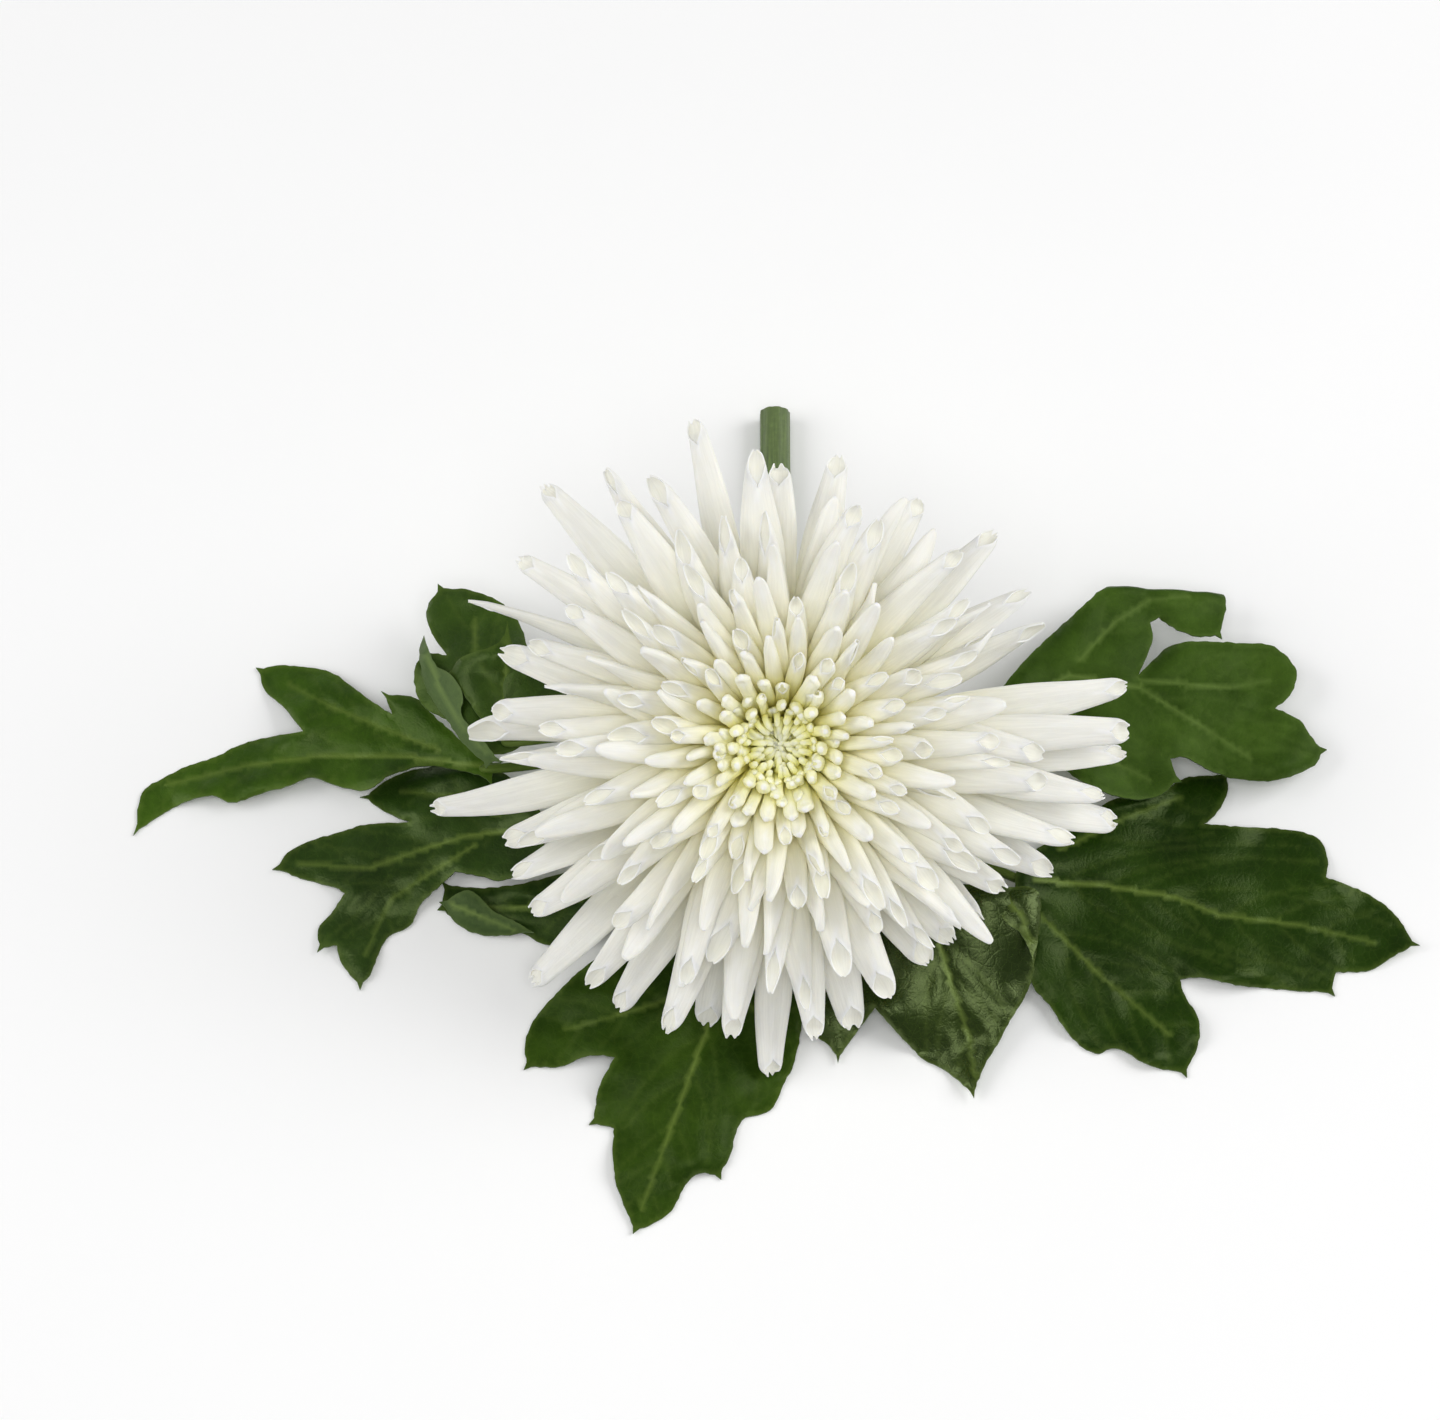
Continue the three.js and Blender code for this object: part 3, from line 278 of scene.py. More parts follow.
# ------------------------------------------------------------------ florets
LAYERS = [  # tip radius and height, place of the root on the dome, direction at root and tip in degrees off the flower's axis
    dict(tipR=10.2, tipW=21.2, root=28, a0=16, a1=36, n=16, width=2.5, thick=1.9),
    dict(tipR=15.0, tipW=24.0, root=35, a0=19, a1=48, n=20, width=3.0, thick=2.1),
    dict(tipR=20.8, tipW=25.6, root=42, a0=24, a1=57, n=24, width=3.5, thick=2.3),
    dict(tipR=27.3, tipW=25.4, root=49, a0=31, a1=65, n=26, width=4.1, thick=2.5),
    dict(tipR=34.3, tipW=23.6, root=56, a0=39, a1=71, n=27, width=4.6, thick=2.6),
    dict(tipR=41.4, tipW=20.2, root=63, a0=47, a1=77, n=28, width=5.1, thick=2.7),
    dict(tipR=48.4, tipW=15.6, root=70, a0=56, a1=83, n=26, width=5.8, thick=2.8),
    dict(tipR=55.4, tipW=10.0, root=78, a0=65, a1=90, n=24, width=6.6, thick=2.9),
    dict(tipR=62.0, tipW=3.2, root=87, a0=75, a1=98, n=18, width=7.4, thick=2.9),
    dict(tipR=65.0, tipW=-5.2, root=98, a0=85, a1=107, n=20, width=7.8, thick=2.9),
]


def layer_curve(L):
    th = math.radians(L["root"])
    r0, w0 = (DOME_R + GAP) * math.sin(th), (DOME_H + GAP) * math.cos(th)
    ln = math.hypot(L["tipR"] - r0, L["tipW"] - w0)
    a0, a1 = math.radians(L["a0"]), math.radians(L["a1"])
    return np.array([
        (r0, w0),
        (r0 + math.sin(a0) * ln * 0.36, w0 + math.cos(a0) * ln * 0.36),
        (L["tipR"] - math.sin(a1) * ln * 0.36, L["tipW"] - math.cos(a1) * ln * 0.36),
        (L["tipR"], L["tipW"]),
    ])


def bezier(P, s):
    s = np.asarray(s, float)
    t = np.clip(s, 0, 1)[:, None]
    p = P[0] * (1 - t) ** 3 + 3 * P[1] * t * (1 - t) ** 2 + 3 * P[2] * t * t * (1 - t) + P[3] * t ** 3
    d = 3 * (P[1] - P[0]) * (1 - t) ** 2 + 6 * (P[2] - P[1]) * t * (1 - t) + 3 * (P[3] - P[2]) * t * t
    d = d / np.linalg.norm(d, axis=1)[:, None]
    return p, d


CURVES = [layer_curve(L) for L in LAYERS]
LENGTHS = []
for _c in CURVES:
    _p, _ = bezier(_c, np.linspace(0, 1, 200))
    LENGTHS.append(np.linalg.norm(np.diff(_p, axis=0), axis=1).sum())


def curve_at(k, s):
    p, d = bezier(CURVES[k], s)
    over = np.clip(np.asarray(s) - 1, 0, None)[:, None]
    return p + d * over * LENGTHS[k], d


def corridor(k, s):
    p, _ = curve_at(k, np.atleast_1d(s))
    d = np.full(len(p), 1e9)
    for j in (k - 1, k + 1):
        if 0 <= j < len(CURVES):
            q, _ = curve_at(j, np.linspace(0, 1.12, 61))
            d = np.minimum(d, np.linalg.norm(p[:, None] - q[None], axis=2).min(1))
    if k == 0:
        d = np.minimum(d, p[:, 0] * 1.4)
    return d


_templates = {}


def template(n, m, k0, NU):
    """Faces of a tube that is closed up to row m and open above it, with an inner wall from row k0 to its end."""
    key = (n, m, k0, NU)
    if key in _templates:
        return _templates[key]
    idx, count = {}, 0
    order = []
    for wall in (0, 1):
        for i in range(n):
            if wall == 1 and i < k0:
                continue
            for j in range(NU + (1 if i > m else 0)):
                idx[(wall, i, j)] = count
                order.append((wall, i, j))
                count += 1

    def at(wall, i, j):
        return idx[(wall, i, j % NU if i <= m else j)]

    faces = []
    for i in range(n - 1):
        for j in range(NU):
            faces.append((at(0, i, j), at(0, i, j + 1), at(0, i + 1, j + 1), at(0, i + 1, j)))
            if i >= k0:
                faces.append((at(1, i, j), at(1, i + 1, j), at(1, i + 1, j + 1), at(1, i, j + 1)))
        if i >= m:
            faces.append((at(0, i, 0), at(0, i + 1, 0), at(1, i + 1, 0), at(1, i, 0)))
            faces.append((at(0, i, NU), at(1, i, NU), at(1, i + 1, NU), at(0, i + 1, NU)))
    for j in range(NU):
        faces.append((at(0, n - 1, j), at(0, n - 1, j + 1), at(1, n - 1, j + 1), at(1, n - 1, j)))
    faces.append(tuple(at(0, 0, j) for j in range(NU - 1, -1, -1)))
    faces.append(tuple(at(1, k0, j) for j in range(NU)))
    _templates[key] = (np.array(order), faces)
    return _templates[key]


def template_shut(n, NU):
    """Faces of a tube closed at both ends."""
    key = (n, NU)
    if key not in _templates:
        order = np.array([(0, i, j) for i in range(n) for j in range(NU)])
        faces = [(i * NU + j, i * NU + (j + 1) % NU, (i + 1) * NU + (j + 1) % NU, (i + 1) * NU + j) for i in range(n - 1) for j in range(NU)]
        faces.append(tuple(range(NU - 1, -1, -1)))
        faces.append(tuple((n - 1) * NU + j for j in range(NU)))
        _templates[key] = (order, faces)
    return _templates[key]


STOPS_R = [0, 4, 7, 11, 16, 24, 34, 46, 60, 80]
STOPS_C = np.array([
    (0.950, 0.945, 0.53), (0.955, 0.940, 0.53), (0.965, 0.938, 0.56), (0.965, 0.938, 0.64), (0.962, 0.936, 0.73), (0.952, 0.934, 0.805),
    (0.942, 0.930, 0.845), (0.932, 0.924, 0.862), (0.925, 0.920, 0.872), (0.92, 0.916, 0.876)])
TIP_B = [0.63, 0.60, 0.65, 0.73, 0.83, 0.86, 0.88, 0.885, 0.885, 0.885]


def colour_at(rr, u, inner, layer, rnd):
    c = np.stack([np.interp(rr, STOPS_R, STOPS_C[:, i]) for i in range(3)], axis=-1)
    w = ((0.55 if layer < 0 else min(0.85, 0.60 + layer / 14)) * smooth(0.72, 0.99, u))[..., None]
    # a warmer ring from 4 to 12 mm round the eye: partly the flower's own colour, partly painted yellow shade of the
    # crevices round the eye
    c[..., 2] *= 1 - 0.12 * smooth(1.5, 5.0, rr) * smooth(15.0, 9.0, rr)
    tip = np.stack([np.full(len(rr), 0.945), np.full(len(rr), 0.938), np.interp(rr, STOPS_R, TIP_B)], axis=-1)
    c = c * (1 - w) + tip * w
    # yellower (less blue) towards the root, stronger in the inner five whorls: partly the florets' own cream-yellow
    # base, partly painted yellow shade of the deep crevices between florets
    base = smooth(0.75, 0.05, u)[..., None]
    c = c * (1 - base * np.array([0.0, 0.02, 0.34]) * (1.0 if layer < 5 else 0.45))
    c = c * (1 - 0.03 * rnd)
    # painted shade: the inner wall of the mouth is coloured a little darker and creamier than the outside
    return np.clip(np.where(inner[..., None], c * np.array([0.965, 0.963, 0.925]), c), 0, 0.97)


def floret(soup, k, az0, az1, reach, width, rootw, rnd, *, flat=0.5, mouth=6.0, gap=66, lift=0.0, side=0.0,
           roll=(0.0, 0.0), curl=0.0, tip=0.33, taper=0.35, peak=0.72, notch=0.0, th=0.3, rows=(12, 11), NU=16,
           path=None, layer=None, wave=0.0, flare=0.0, droop=0.0, length=None, crowd=0, full=0.5, gape=104, shutin=False):
    """One quilled floret: a slim tube, widest at three quarters of its length, with a slanting teardrop mouth."""
    nc, nm = rows
    length = LENGTHS[k] * reach if length is None else length
    mf = min(0.5, mouth / length)
    m0 = 1 - mf
    u = np.concatenate([np.linspace(0, m0, nc), m0 + mf * (1 - (1 - np.linspace(0, 1, nm + 1)[1:]) ** 1.45)])
    n, m = len(u), nc - 1
    k0 = m
    tm = np.clip((u - m0) / mf, 0, 1)
    layer = k if layer is None else layer
    if path is None:
        p, t = curve_at(k, u * reach)
        nr, nw = -t[:, 1], t[:, 0]
        az = az0 + (az1 - az0) * u ** 0.8 + side * u ** 2 + wave * np.sin(u * 6.0) * u
        off = lift * u ** 2 + curl * np.clip((u - 0.7) / 0.3, 0, 1) ** 2 + droop * u ** 3
        c = head_point(az, p[:, 0] + nr * off, p[:, 1] + nw * off)
        N = (nr * np.cos(az))[:, None] * X + (nr * np.sin(az))[:, None] * UP + nw[:, None] * AXIS
    else:
        c, N = path(u)
    T = np.gradient(c, axis=0)
    T /= np.linalg.norm(T, axis=1)[:, None]
    N = N - (N * T).sum(1)[:, None] * T
    N /= np.linalg.norm(N, axis=1)[:, None]
    S = np.cross(N, T)
    ro = roll[0] + (roll[1] - roll[0]) * u ** 1.5
    N2 = N * np.cos(ro)[:, None] + S * np.sin(ro)[:, None]
    S2 = S * np.cos(ro)[:, None] - N * np.sin(ro)[:, None]
    end = np.clip((tm - 0.30) / 0.70, 0, 1)
    body = lerp(rootw / width, 1.0, smooth(-0.2, full, u)) * (1 - taper * smooth(peak - 0.06, 1.06, u))
    body = body * (1 + flare * smooth(-0.5, 0.35, (u - m0) / mf))
    a = width / 2 * body
    if crowd:
        a = np.minimum(a, np.pi * p[:, 0] / crowd * 1.16)
    b = a * lerp(0.85, flat, smooth(0, 0.35, u))
    shut = np.sqrt(np.clip(1 - (1 - tip ** 2) * end ** 2.4, 0.01, 1))
    b = b * (1 - 0.35 * end)
    a = np.maximum(a * shut, th + 0.26)
    b = np.maximum(b, th + 0.24)
    g = np.radians(gap) * smooth(0.0, 0.62, tm) ** 0.8 + np.radians(gape - gap) * end ** 1.5
    if shutin:  # the mouth is still closed: a blunt end with a seam where it will open
        g = g * 0
        c = np.vstack([c, c[-1] + T[-1] * 0.40 * a[-1]])
        T, S2, N2 = (np.vstack([q, q[-1]]) for q in (T, S2, N2))
        a, b, g, u, tm, end = (np.append(q, q[-1] * f) for q, f in ((a, 0.55), (b, 0.55), (g, 1), (u, 1), (tm, 1), (end, 1)))
        n += 1
        order, faces = template_shut(n, NU)
    else:
        order, faces = template(n, m, k0, NU)
    wall, i, j = order.T
    phi = (-1 + 2 * j / NU) * np.where(i <= m, math.pi, math.pi - g[i])
    sx, cy = np.sin(phi), -np.cos(phi)
    # a shallow crease above while the tube is closed, faint ribs all round
    crease = 1 - 0.22 * np.exp(-((np.abs(phi) - math.pi) / 0.5) ** 2) * (i <= m) * smooth(0.1, 0.4, u[i]) * smooth(m0, m0 - 0.12, u[i])
    if shutin:
        crease = 1 - (0.10 + 0.26 * smooth(m0, m0 + 0.4 * mf, u[i])) * np.exp(-((np.abs(phi) - math.pi) / 0.42) ** 2) * smooth(0.1, 0.4, u[i])
    ridge = 1 + 0.045 * np.cos(4 * phi + rnd * 6 + u[i] * 1.5) * smooth(0.05, 0.3, u[i]) * (1 - 0.6 * end[i])
    x = a[i] * sx * ridge
    y = b[i] * cy * crease * ridge
    nx, ny = sx / a[i], cy / b[i]
    nn = np.hypot(nx, ny)
    x = x - wall * th * nx / nn
    y = y - wall * th * ny / nn
    # the mouth is a shallow scoop just under its rim, running out to nothing where it begins
    top = b[i] * np.sqrt(np.clip(1 - (x / a[i]) ** 2, 0, 1)) * crease - th * 0.9
    xr = np.clip(np.abs(x) / (a[i] * np.sin(np.minimum(g[i], math.pi / 2)) + 1e-3), 0, 1)
    scoop = b[i] * np.cos(g[i]) * crease - 0.10 - (0.20 + 0.50 * b[i] * smooth(0.05, 0.7, tm[i])) * (1 - xr ** 2)
    y = np.where(wall == 1, np.maximum(y, np.minimum(scoop, top)), y)
    q_ = np.where(wall == 1, 0.06 + 0.94 * smooth(0.0, 0.28, tm[i]), 1.0)
    x = x * q_
    y = y * q_ + (1 - q_) * (b[i] * crease - 0.10)
    edge = np.abs(-1 + 2 * j / NU)
    bead = 0.11 * ((edge > 0.999) & (i > m) & (wall == 0)) * (1 - 0.6 * end[i]) * (0 if shutin else 1)
    back = 0 * x if shutin else np.where(i >= n - 2, notch * np.cos(phi * 3.3 + rnd * 9) * (0.5 + 0.5 * (i == n - 1)), 0.0)
    lip = b[i] * 0.55 * end[i] ** 2 + (i > m) * 0.08 * a[i] * smooth(0.1, 0.8, tm[i]) * edge ** 3
    v = c[i] + S2[i] * x[:, None] + N2[i] * (y + lip + bead)[:, None] + T[i] * back[:, None]
    rr = np.linalg.norm((v - HEAD) - ((v - HEAD) @ AXIS)[:, None] * AXIS, axis=1)
    col = colour_at(rr, u[i], (wall == 1), layer, rnd)
    # painted highlight mask: the mouth's rim edges, half as strong along a shut seam, the tip row, and a faint band
    # just inside the rim
    rim_highlight = ((j == 0) | (j == NU)) * (i >= m) * (0.5 if shutin else 1.0)
    rim_highlight = np.maximum(rim_highlight, (i == n - 1) * 0.9)
    rim_highlight = np.maximum(rim_highlight, ((j == 1) | (j == NU - 1)) * (i > m) * 0.2)
    uv = np.stack([u[i] * length + rnd * 37, phi / math.pi * max(1.0, width / 3), np.full(len(v), rnd * 13.7)], axis=1)
    soup.add(v, faces, col, uv, rim_highlight)


def jitter(rng_np, amount):
    return (rng_np.random() * 2 - 1) * amount


def some_roll(rng_np, usual, chance, far):
    if rng_np.random() < chance:
        return far * lerp(0.6, 1.15, rng_np.random()) * (1 if rng_np.random() < 0.5 else -1)
    return jitter(rng_np, usual)


# inner whorls: the CAD's own stream sets azimuth, length, width and lift, a second one the small things
#        width  flat  mouth taper tip  gap  flare  gape
SHAPE = [
    (0.95, 0.80, 1.5, 0.00, 0.50, 20, 0.20, 30),
    (0.98, 0.76, 2.3, 0.04, 0.50, 34, 0.10, 50),
    (1.08, 0.72, 3.4, 0.20, 0.48, 44, 0.02, 74),
    (1.16, 0.68, 4.8, 0.32, 0.46, 48, 0.0, 86),
    (1.20, 0.64, 5.8, 0.40, 0.45, 50, 0.0, 94),
    (1.20, 0.58, 6.4, 0.46, 0.44, 50, 0.0, 98),
    (1.18, 0.53, 6.6, 0.50, 0.42, 50, 0.0, 100),
    (1.16, 0.50, 6.6, 0.54, 0.40, 48, 0.0, 102),
]
OPEN = [0.10, 0.24, 0.50, 0.64, 0.70, 0.70, 0.68, 0.66]  # share of the florets in a whorl whose mouth stands open
for k in range(8):
    L = LAYERS[k]
    rand, fine = Rng(911 + 37 * k), np.random.default_rng(500 + k)
    step, phase = 2 * math.pi / L["n"], rand() * 2 * math.pi
    room = max(0.0, float(corridor(k, 0.84)[0]) / 2 - L["thick"] / 2 - GAP)
    r0 = (DOME_R + GAP) * math.sin(math.radians(L["root"]))
    ws, flat, mouth, taper, tip, gap, flare, gape = SHAPE[k]
    big = k / 7
    soup = Soup()
    for i in range(L["n"]):
        reach = lerp(0.86, 1.07, rand())
        wf = lerp(0.9, 1.05, rand())
        turn = (rand() - 0.5) * step * 0.3
        lift = (rand() * 2 - 1) * min(room, 2.2)
        az = phase + i * step
        q = fine.random()
        # more than half of the tips stay nearly shut, the rest open to a small spoon
        is_open = fine.random() < OPEN[k]
        ajar = lerp(0.85, 1.2, fine.random()) if is_open else lerp(0.10, 0.4, fine.random())
        floret(soup, k, az, az + turn + jitter(fine, 0.18) * step, reach * (1 + jitter(fine, lerp(0.08, 0.03, big))),
               L["width"] * wf * ws * lerp(0.88, 1.10, fine.random()), min(step * r0 * 1.1, 2.4), q, crowd=L["n"],
               flat=flat * lerp(0.9, 1.1, fine.random()), mouth=mouth * lerp(0.6, 1.35, fine.random()),
               gap=gap * ajar, gape=max(gap * ajar, gape * lerp(0.55, 1.05, min(1, ajar))), lift=lift, side=jitter(fine, 0.34) * step, peak=lerp(0.56, 0.70, fine.random()),
               roll=(0, some_roll(fine, 0.5, 0.30, 1.5)), curl=lerp(0.7, -0.2, big) + jitter(fine, 0.7),
               tip=tip * lerp(0.8, 1.25, fine.random()), taper=taper * lerp(0.7, 1.3, fine.random()), notch=lerp(0.06, 0.35, fine.random() * big),
               th=lerp(0.22, 0.30, big), wave=jitter(fine, 0.014 * big), flare=flare, shutin=not is_open)
    if k < 2:  # shorter florets standing between the others, as in the ring of blunt white tips round the eye
        for i in range(L["n"]):
            if fine.random() < (0.75 if k == 0 else 0.5):
                az = phase + (i + 0.5 + jitter(fine, 0.15)) * step
                floret(soup, k, az, az + jitter(fine, 0.2) * step, lerp(0.76, 0.90, fine.random()), L["width"] * ws * lerp(0.78, 0.92, fine.random()), 1.4,
                       fine.random(), crowd=L["n"] * 1.2, flat=flat, mouth=mouth * 0.9, gap=gap * 0.5, gape=gape * 0.6, lift=jitter(fine, 0.5) + 0.3,
                       side=jitter(fine, 0.2) * step, roll=(0, jitter(fine, 0.8)), curl=0.5 + jitter(fine, 0.5), tip=tip, taper=taper, notch=0.06,
                       th=0.22, flare=flare, shutin=True)
    ob = soup.build(f"florets_whorl_0{k + 1}", [MAT_PETAL])
    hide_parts(f"ray_whorl_0{k + 1}")

# the eye: small incurved florets that still close over the middle
fine = np.random.default_rng(77)
soup = Soup()
EYE_ROWS = [  # count, root radius, widest radius, tip radius, tip height, width
    (6, 0.6, 1.9, 0.25, 15.9, 1.35),
    (11, 1.5, 3.5, 1.5, 16.2, 1.40),
    (16, 2.6, 5.2, 3.1, 16.8, 1.45),
    (20, 3.6, 6.5, 5.0, 17.5, 1.50),
    (18, 4.6, 6.2, 7.4, 18.4, 1.55),
]
for row, (cnt, ra, rb, rc, wt, wd) in enumerate(EYE_ROWS):
    for i in range(cnt):
        az = (i + 0.37 * row) / cnt * 2 * math.pi + jitter(fine, 0.5) / cnt * 2
        taz = az + jitter(fine, 0.30) / (1 + 0.4 * row)
        f, wt2, q = lerp(0.75, 1.2, fine.random()), wt + jitter(fine, 0.45), fine.random()
        leanout = row == 4

        def path(u, az=az, taz=taz, ra=ra, rb=rb, rc=rc, f=f, wt2=wt2, leanout=leanout):
            w0 = DOME_H + 0.5
            h = wt2 - w0
            if leanout:
                P = [(ra, w0), (rb - 0.3, w0 + 0.45 * h), (rb + 0.2, w0 + 0.8 * h), (rc * lerp(0.94, 1.06, f - 0.5), wt2)]
            else:
                P = [(ra, w0), (rb + 1.0, w0 + 0.5 * h), (rb + 0.7, wt2 + 1.1), (rc * f, wt2)]
            b0, b1, b2, b3 = (1 - u) ** 3, 3 * u * (1 - u) ** 2, 3 * u * u * (1 - u), u ** 3
            r = b0 * P[0][0] + b1 * P[1][0] + b2 * P[2][0] + b3 * P[3][0]
            w = b0 * P[0][1] + b1 * P[1][1] + b2 * P[2][1] + b3 * P[3][1]
            a = az + (taz - az) * smooth(0.1, 0.9, u)
            dr, dw = np.gradient(r), np.gradient(w)
            ln = np.hypot(dr, dw)
            nr, nw = -dw / ln, dr / ln  # left of the way the floret grows: over the middle when it leans out
            if not leanout:
                nr, nw = -nr, -nw
            out_ = np.cos(a)[:, None] * X + np.sin(a)[:, None] * UP
            return head_point(a, r, w), out_ * nr[:, None] + AXIS * nw[:, None]

        floret(soup, 0, 0, 0, 1, wd * lerp(0.88, 1.12, fine.random()), wd * 0.6, q, flat=0.72, mouth=1.2, gap=4, gape=6, tip=0.60,
               taper=0.0 if leanout else 0.16, peak=0.62, th=0.16, rows=(12, 7), NU=12, path=path, layer=-1, roll=(0, jitter(fine, 0.6)),
               flare=0.18 if leanout else 0.06, length=(wt2 - DOME_H) * 1.25, shutin=True)
for cnt, rr_, w_ in ((7, 0.9, 14.7), (13, 2.4, 15.0), (19, 3.9, 15.4)):
    for i in range(cnt):
        az = (i + 0.5) / cnt * 2 * math.pi + jitter(fine, 0.1)
        w2, r2 = w_ + jitter(fine, 0.3), rr_ + jitter(fine, 0.2)

        def path(u, az=az, w2=w2, r2=r2):
            return head_point(az, r2 * (0.55 + 0.45 * u), DOME_H + 0.5 + (w2 - DOME_H - 0.5) * u), np.tile(math.cos(az) * X + math.sin(az) * UP, (len(u), 1))

        floret(soup, 0, 0, 0, 1, 1.55, 0.9, fine.random(), flat=0.9, mouth=1.2, gap=4, gape=6, tip=0.62, taper=0.0, peak=0.9, th=0.16, rows=(5, 5), NU=10,
               path=path, layer=-1, length=w2 - DOME_H, shutin=True)
ob = soup.build("florets_eye", [MAT_EYE])
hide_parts("ray_whorl_eye")

# outer rays, one piece each: azimuth, tip distance, width factor, sideways bend, tip lift
UPPER = [
    (2, 70, 1.0, 0, 0), (-9, 66, 1.0, 0, 0), (-20, 62, 1.0, 1, 0), (-34, 54, 0.95, 0, 0), (-49, 53, 1.0, -1, 0), (-66, 53, 1.0, 0, 0),
    (-83, 60, 1.05, 1, 0), (-98, 60, 1.0, 0, 0), (-112, 62, 1.05, 0, 0), (-127, 62, 1.0, 0, 0), (-144, 60, 1.0, -1, 0), (-161, 58, 1.0, 0, 0),
    (163, 58, 0.95, 0, 0), (142, 63, 0.95, 2, 0), (122, 64, 1.0, 0, 0), (90, 55, 0.95, 0, 0), (61, 56, 1.0, 0, 0), (31, 58, 1.0, 0, 0),
]
LOWER = [
    (8, 71, 1.0, 0, 0), (-3, 70, 1.0, 0, 0), (-14, 70.5, 1.05, 0, 0), (-27, 61, 1.0, 0, 0), (-42, 54, 1.0, 0, 0), (-57, 54, 1.0, 0, 0),
    (-75, 60, 1.0, 0, 0), (-90, 67.4, 1.05, 0, 0.9), (-105, 59, 1.0, 0, 0), (-119, 63.4, 1.0, -1, 0), (-135.6, 70, 1.0, 0, 0), (-152, 60, 1.0, 0, 0),
    (-168, 71, 1.0, 0, 0), (175, 61, 0.9, 3, 1.5), (151, 67, 0.6, 4, 1.0), (132, 69, 0.9, 0, 0), (106, 66, 0.95, 0, 0), (78, 58, 1.0, 0, 0),
    (43, 60, 1.0, 0, 0), (21, 57, 0.9, 3, 1.5),
]
SPECIAL = {  # what the photograph shows of single tips: roll, curl, mouth, gap, notch
    ("ray_lower", 14): dict(roll=(0, 0.9), curl=2.6, mouth=7.5, gap=80, notch=0.1, tip=0.5, taper=0.1),
    ("ray_lower", 15): dict(roll=(0, 1.5), curl=1.5, mouth=5.0, gap=60, notch=0.3, flat=0.5),
    ("ray_lower", 20): dict(roll=(0, -1.0), curl=2.8, mouth=6.0, gap=80, notch=0.1, taper=0.45),
}
for prefix, k, table in (("ray_upper", 8, UPPER), ("ray_lower", 9, LOWER)):
    fine = np.random.default_rng(3000 + k)
    L = LAYERS[k]
    for i, (deg, tipr, wf, bend, lift) in enumerate(table):
        q = fine.random()
        o = dict(flat=lerp(0.34, 0.48, fine.random()), mouth=lerp(3.0, 6.0, fine.random()), gap=lerp(30, 60, fine.random()), gape=lerp(70, 104, fine.random()),
                 roll=(0, some_roll(fine, 0.35, 0.25, 0.8)), curl=jitter(fine, 0.9), tip=lerp(0.34, 0.6, fine.random()),
                 taper=lerp(0.34, 0.56, fine.random()), notch=lerp(0.2, 0.8, fine.random()), peak=lerp(0.66, 0.76, fine.random()))
        o.update(SPECIAL.get((prefix, i + 1), {}))
        az = math.radians(deg)
        soup = Soup()
        floret(soup, k, az, az, 1 + (tipr - L["tipR"]) / LENGTHS[k], L["width"] * wf * lerp(0.94, 1.08, fine.random()), 2.2, q,
               lift=lift, side=math.radians(bend) + jitter(fine, 0.02), th=0.32, rows=(15, 11), NU=20, wave=jitter(fine, 0.014), **o)
        name = f"{prefix}_{i + 1:02d}"
        ob = soup.build("floret_" + name, [MAT_OUTER])
        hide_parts(name)


# ------------------------------------------------------------------ tubes, receptacle, bracts and stem
def tube_rings(pts, radii, sides, hint, profile=None, last=None):
    pts = np.asarray(pts, float)
    T = np.gradient(pts, axis=0)
    if last is not None:
        T[-1] = last
    T /= np.linalg.norm(T, axis=1)[:, None]
    side = np.cross(T, hint)
    side /= np.linalg.norm(side, axis=1)[:, None]
    up = np.cross(side, T)
    th = (np.arange(sides) + 0.5) / sides * 2 * math.pi
    f = np.ones((len(pts), sides)) if profile is None else profile(th, len(pts))
    rad = np.asarray(radii)[:, None] * f
    return pts[:, None] + side[:, None] * (rad * np.cos(th))[..., None] + up[:, None] * (rad * np.sin(th))[..., None], th


def loft(rings):
    rows, sides = rings.shape[:2]
    faces = []
    for i in range(rows - 1):
        for j in range(sides):
            j2 = (j + 1) % sides
            faces.append((i * sides + j, (i + 1) * sides + j, (i + 1) * sides + j2, i * sides + j2))
    faces.append(tuple(range(sides)))
    faces.append(tuple((rows - 1) * sides + j for j in range(sides - 1, -1, -1)))
    return rings.reshape(-1, 3), faces


def signed_volume(v, faces):
    t = 0.0
    for f in faces:
        a = v[f[0]]
        for q in range(1, len(f) - 1):
            t += np.dot(a, np.cross(v[f[q]], v[f[q + 1]]))
    return t


def outward(v, faces):
    return faces if signed_volume(v, faces) > 0 else [tuple(reversed(f)) for f in faces]


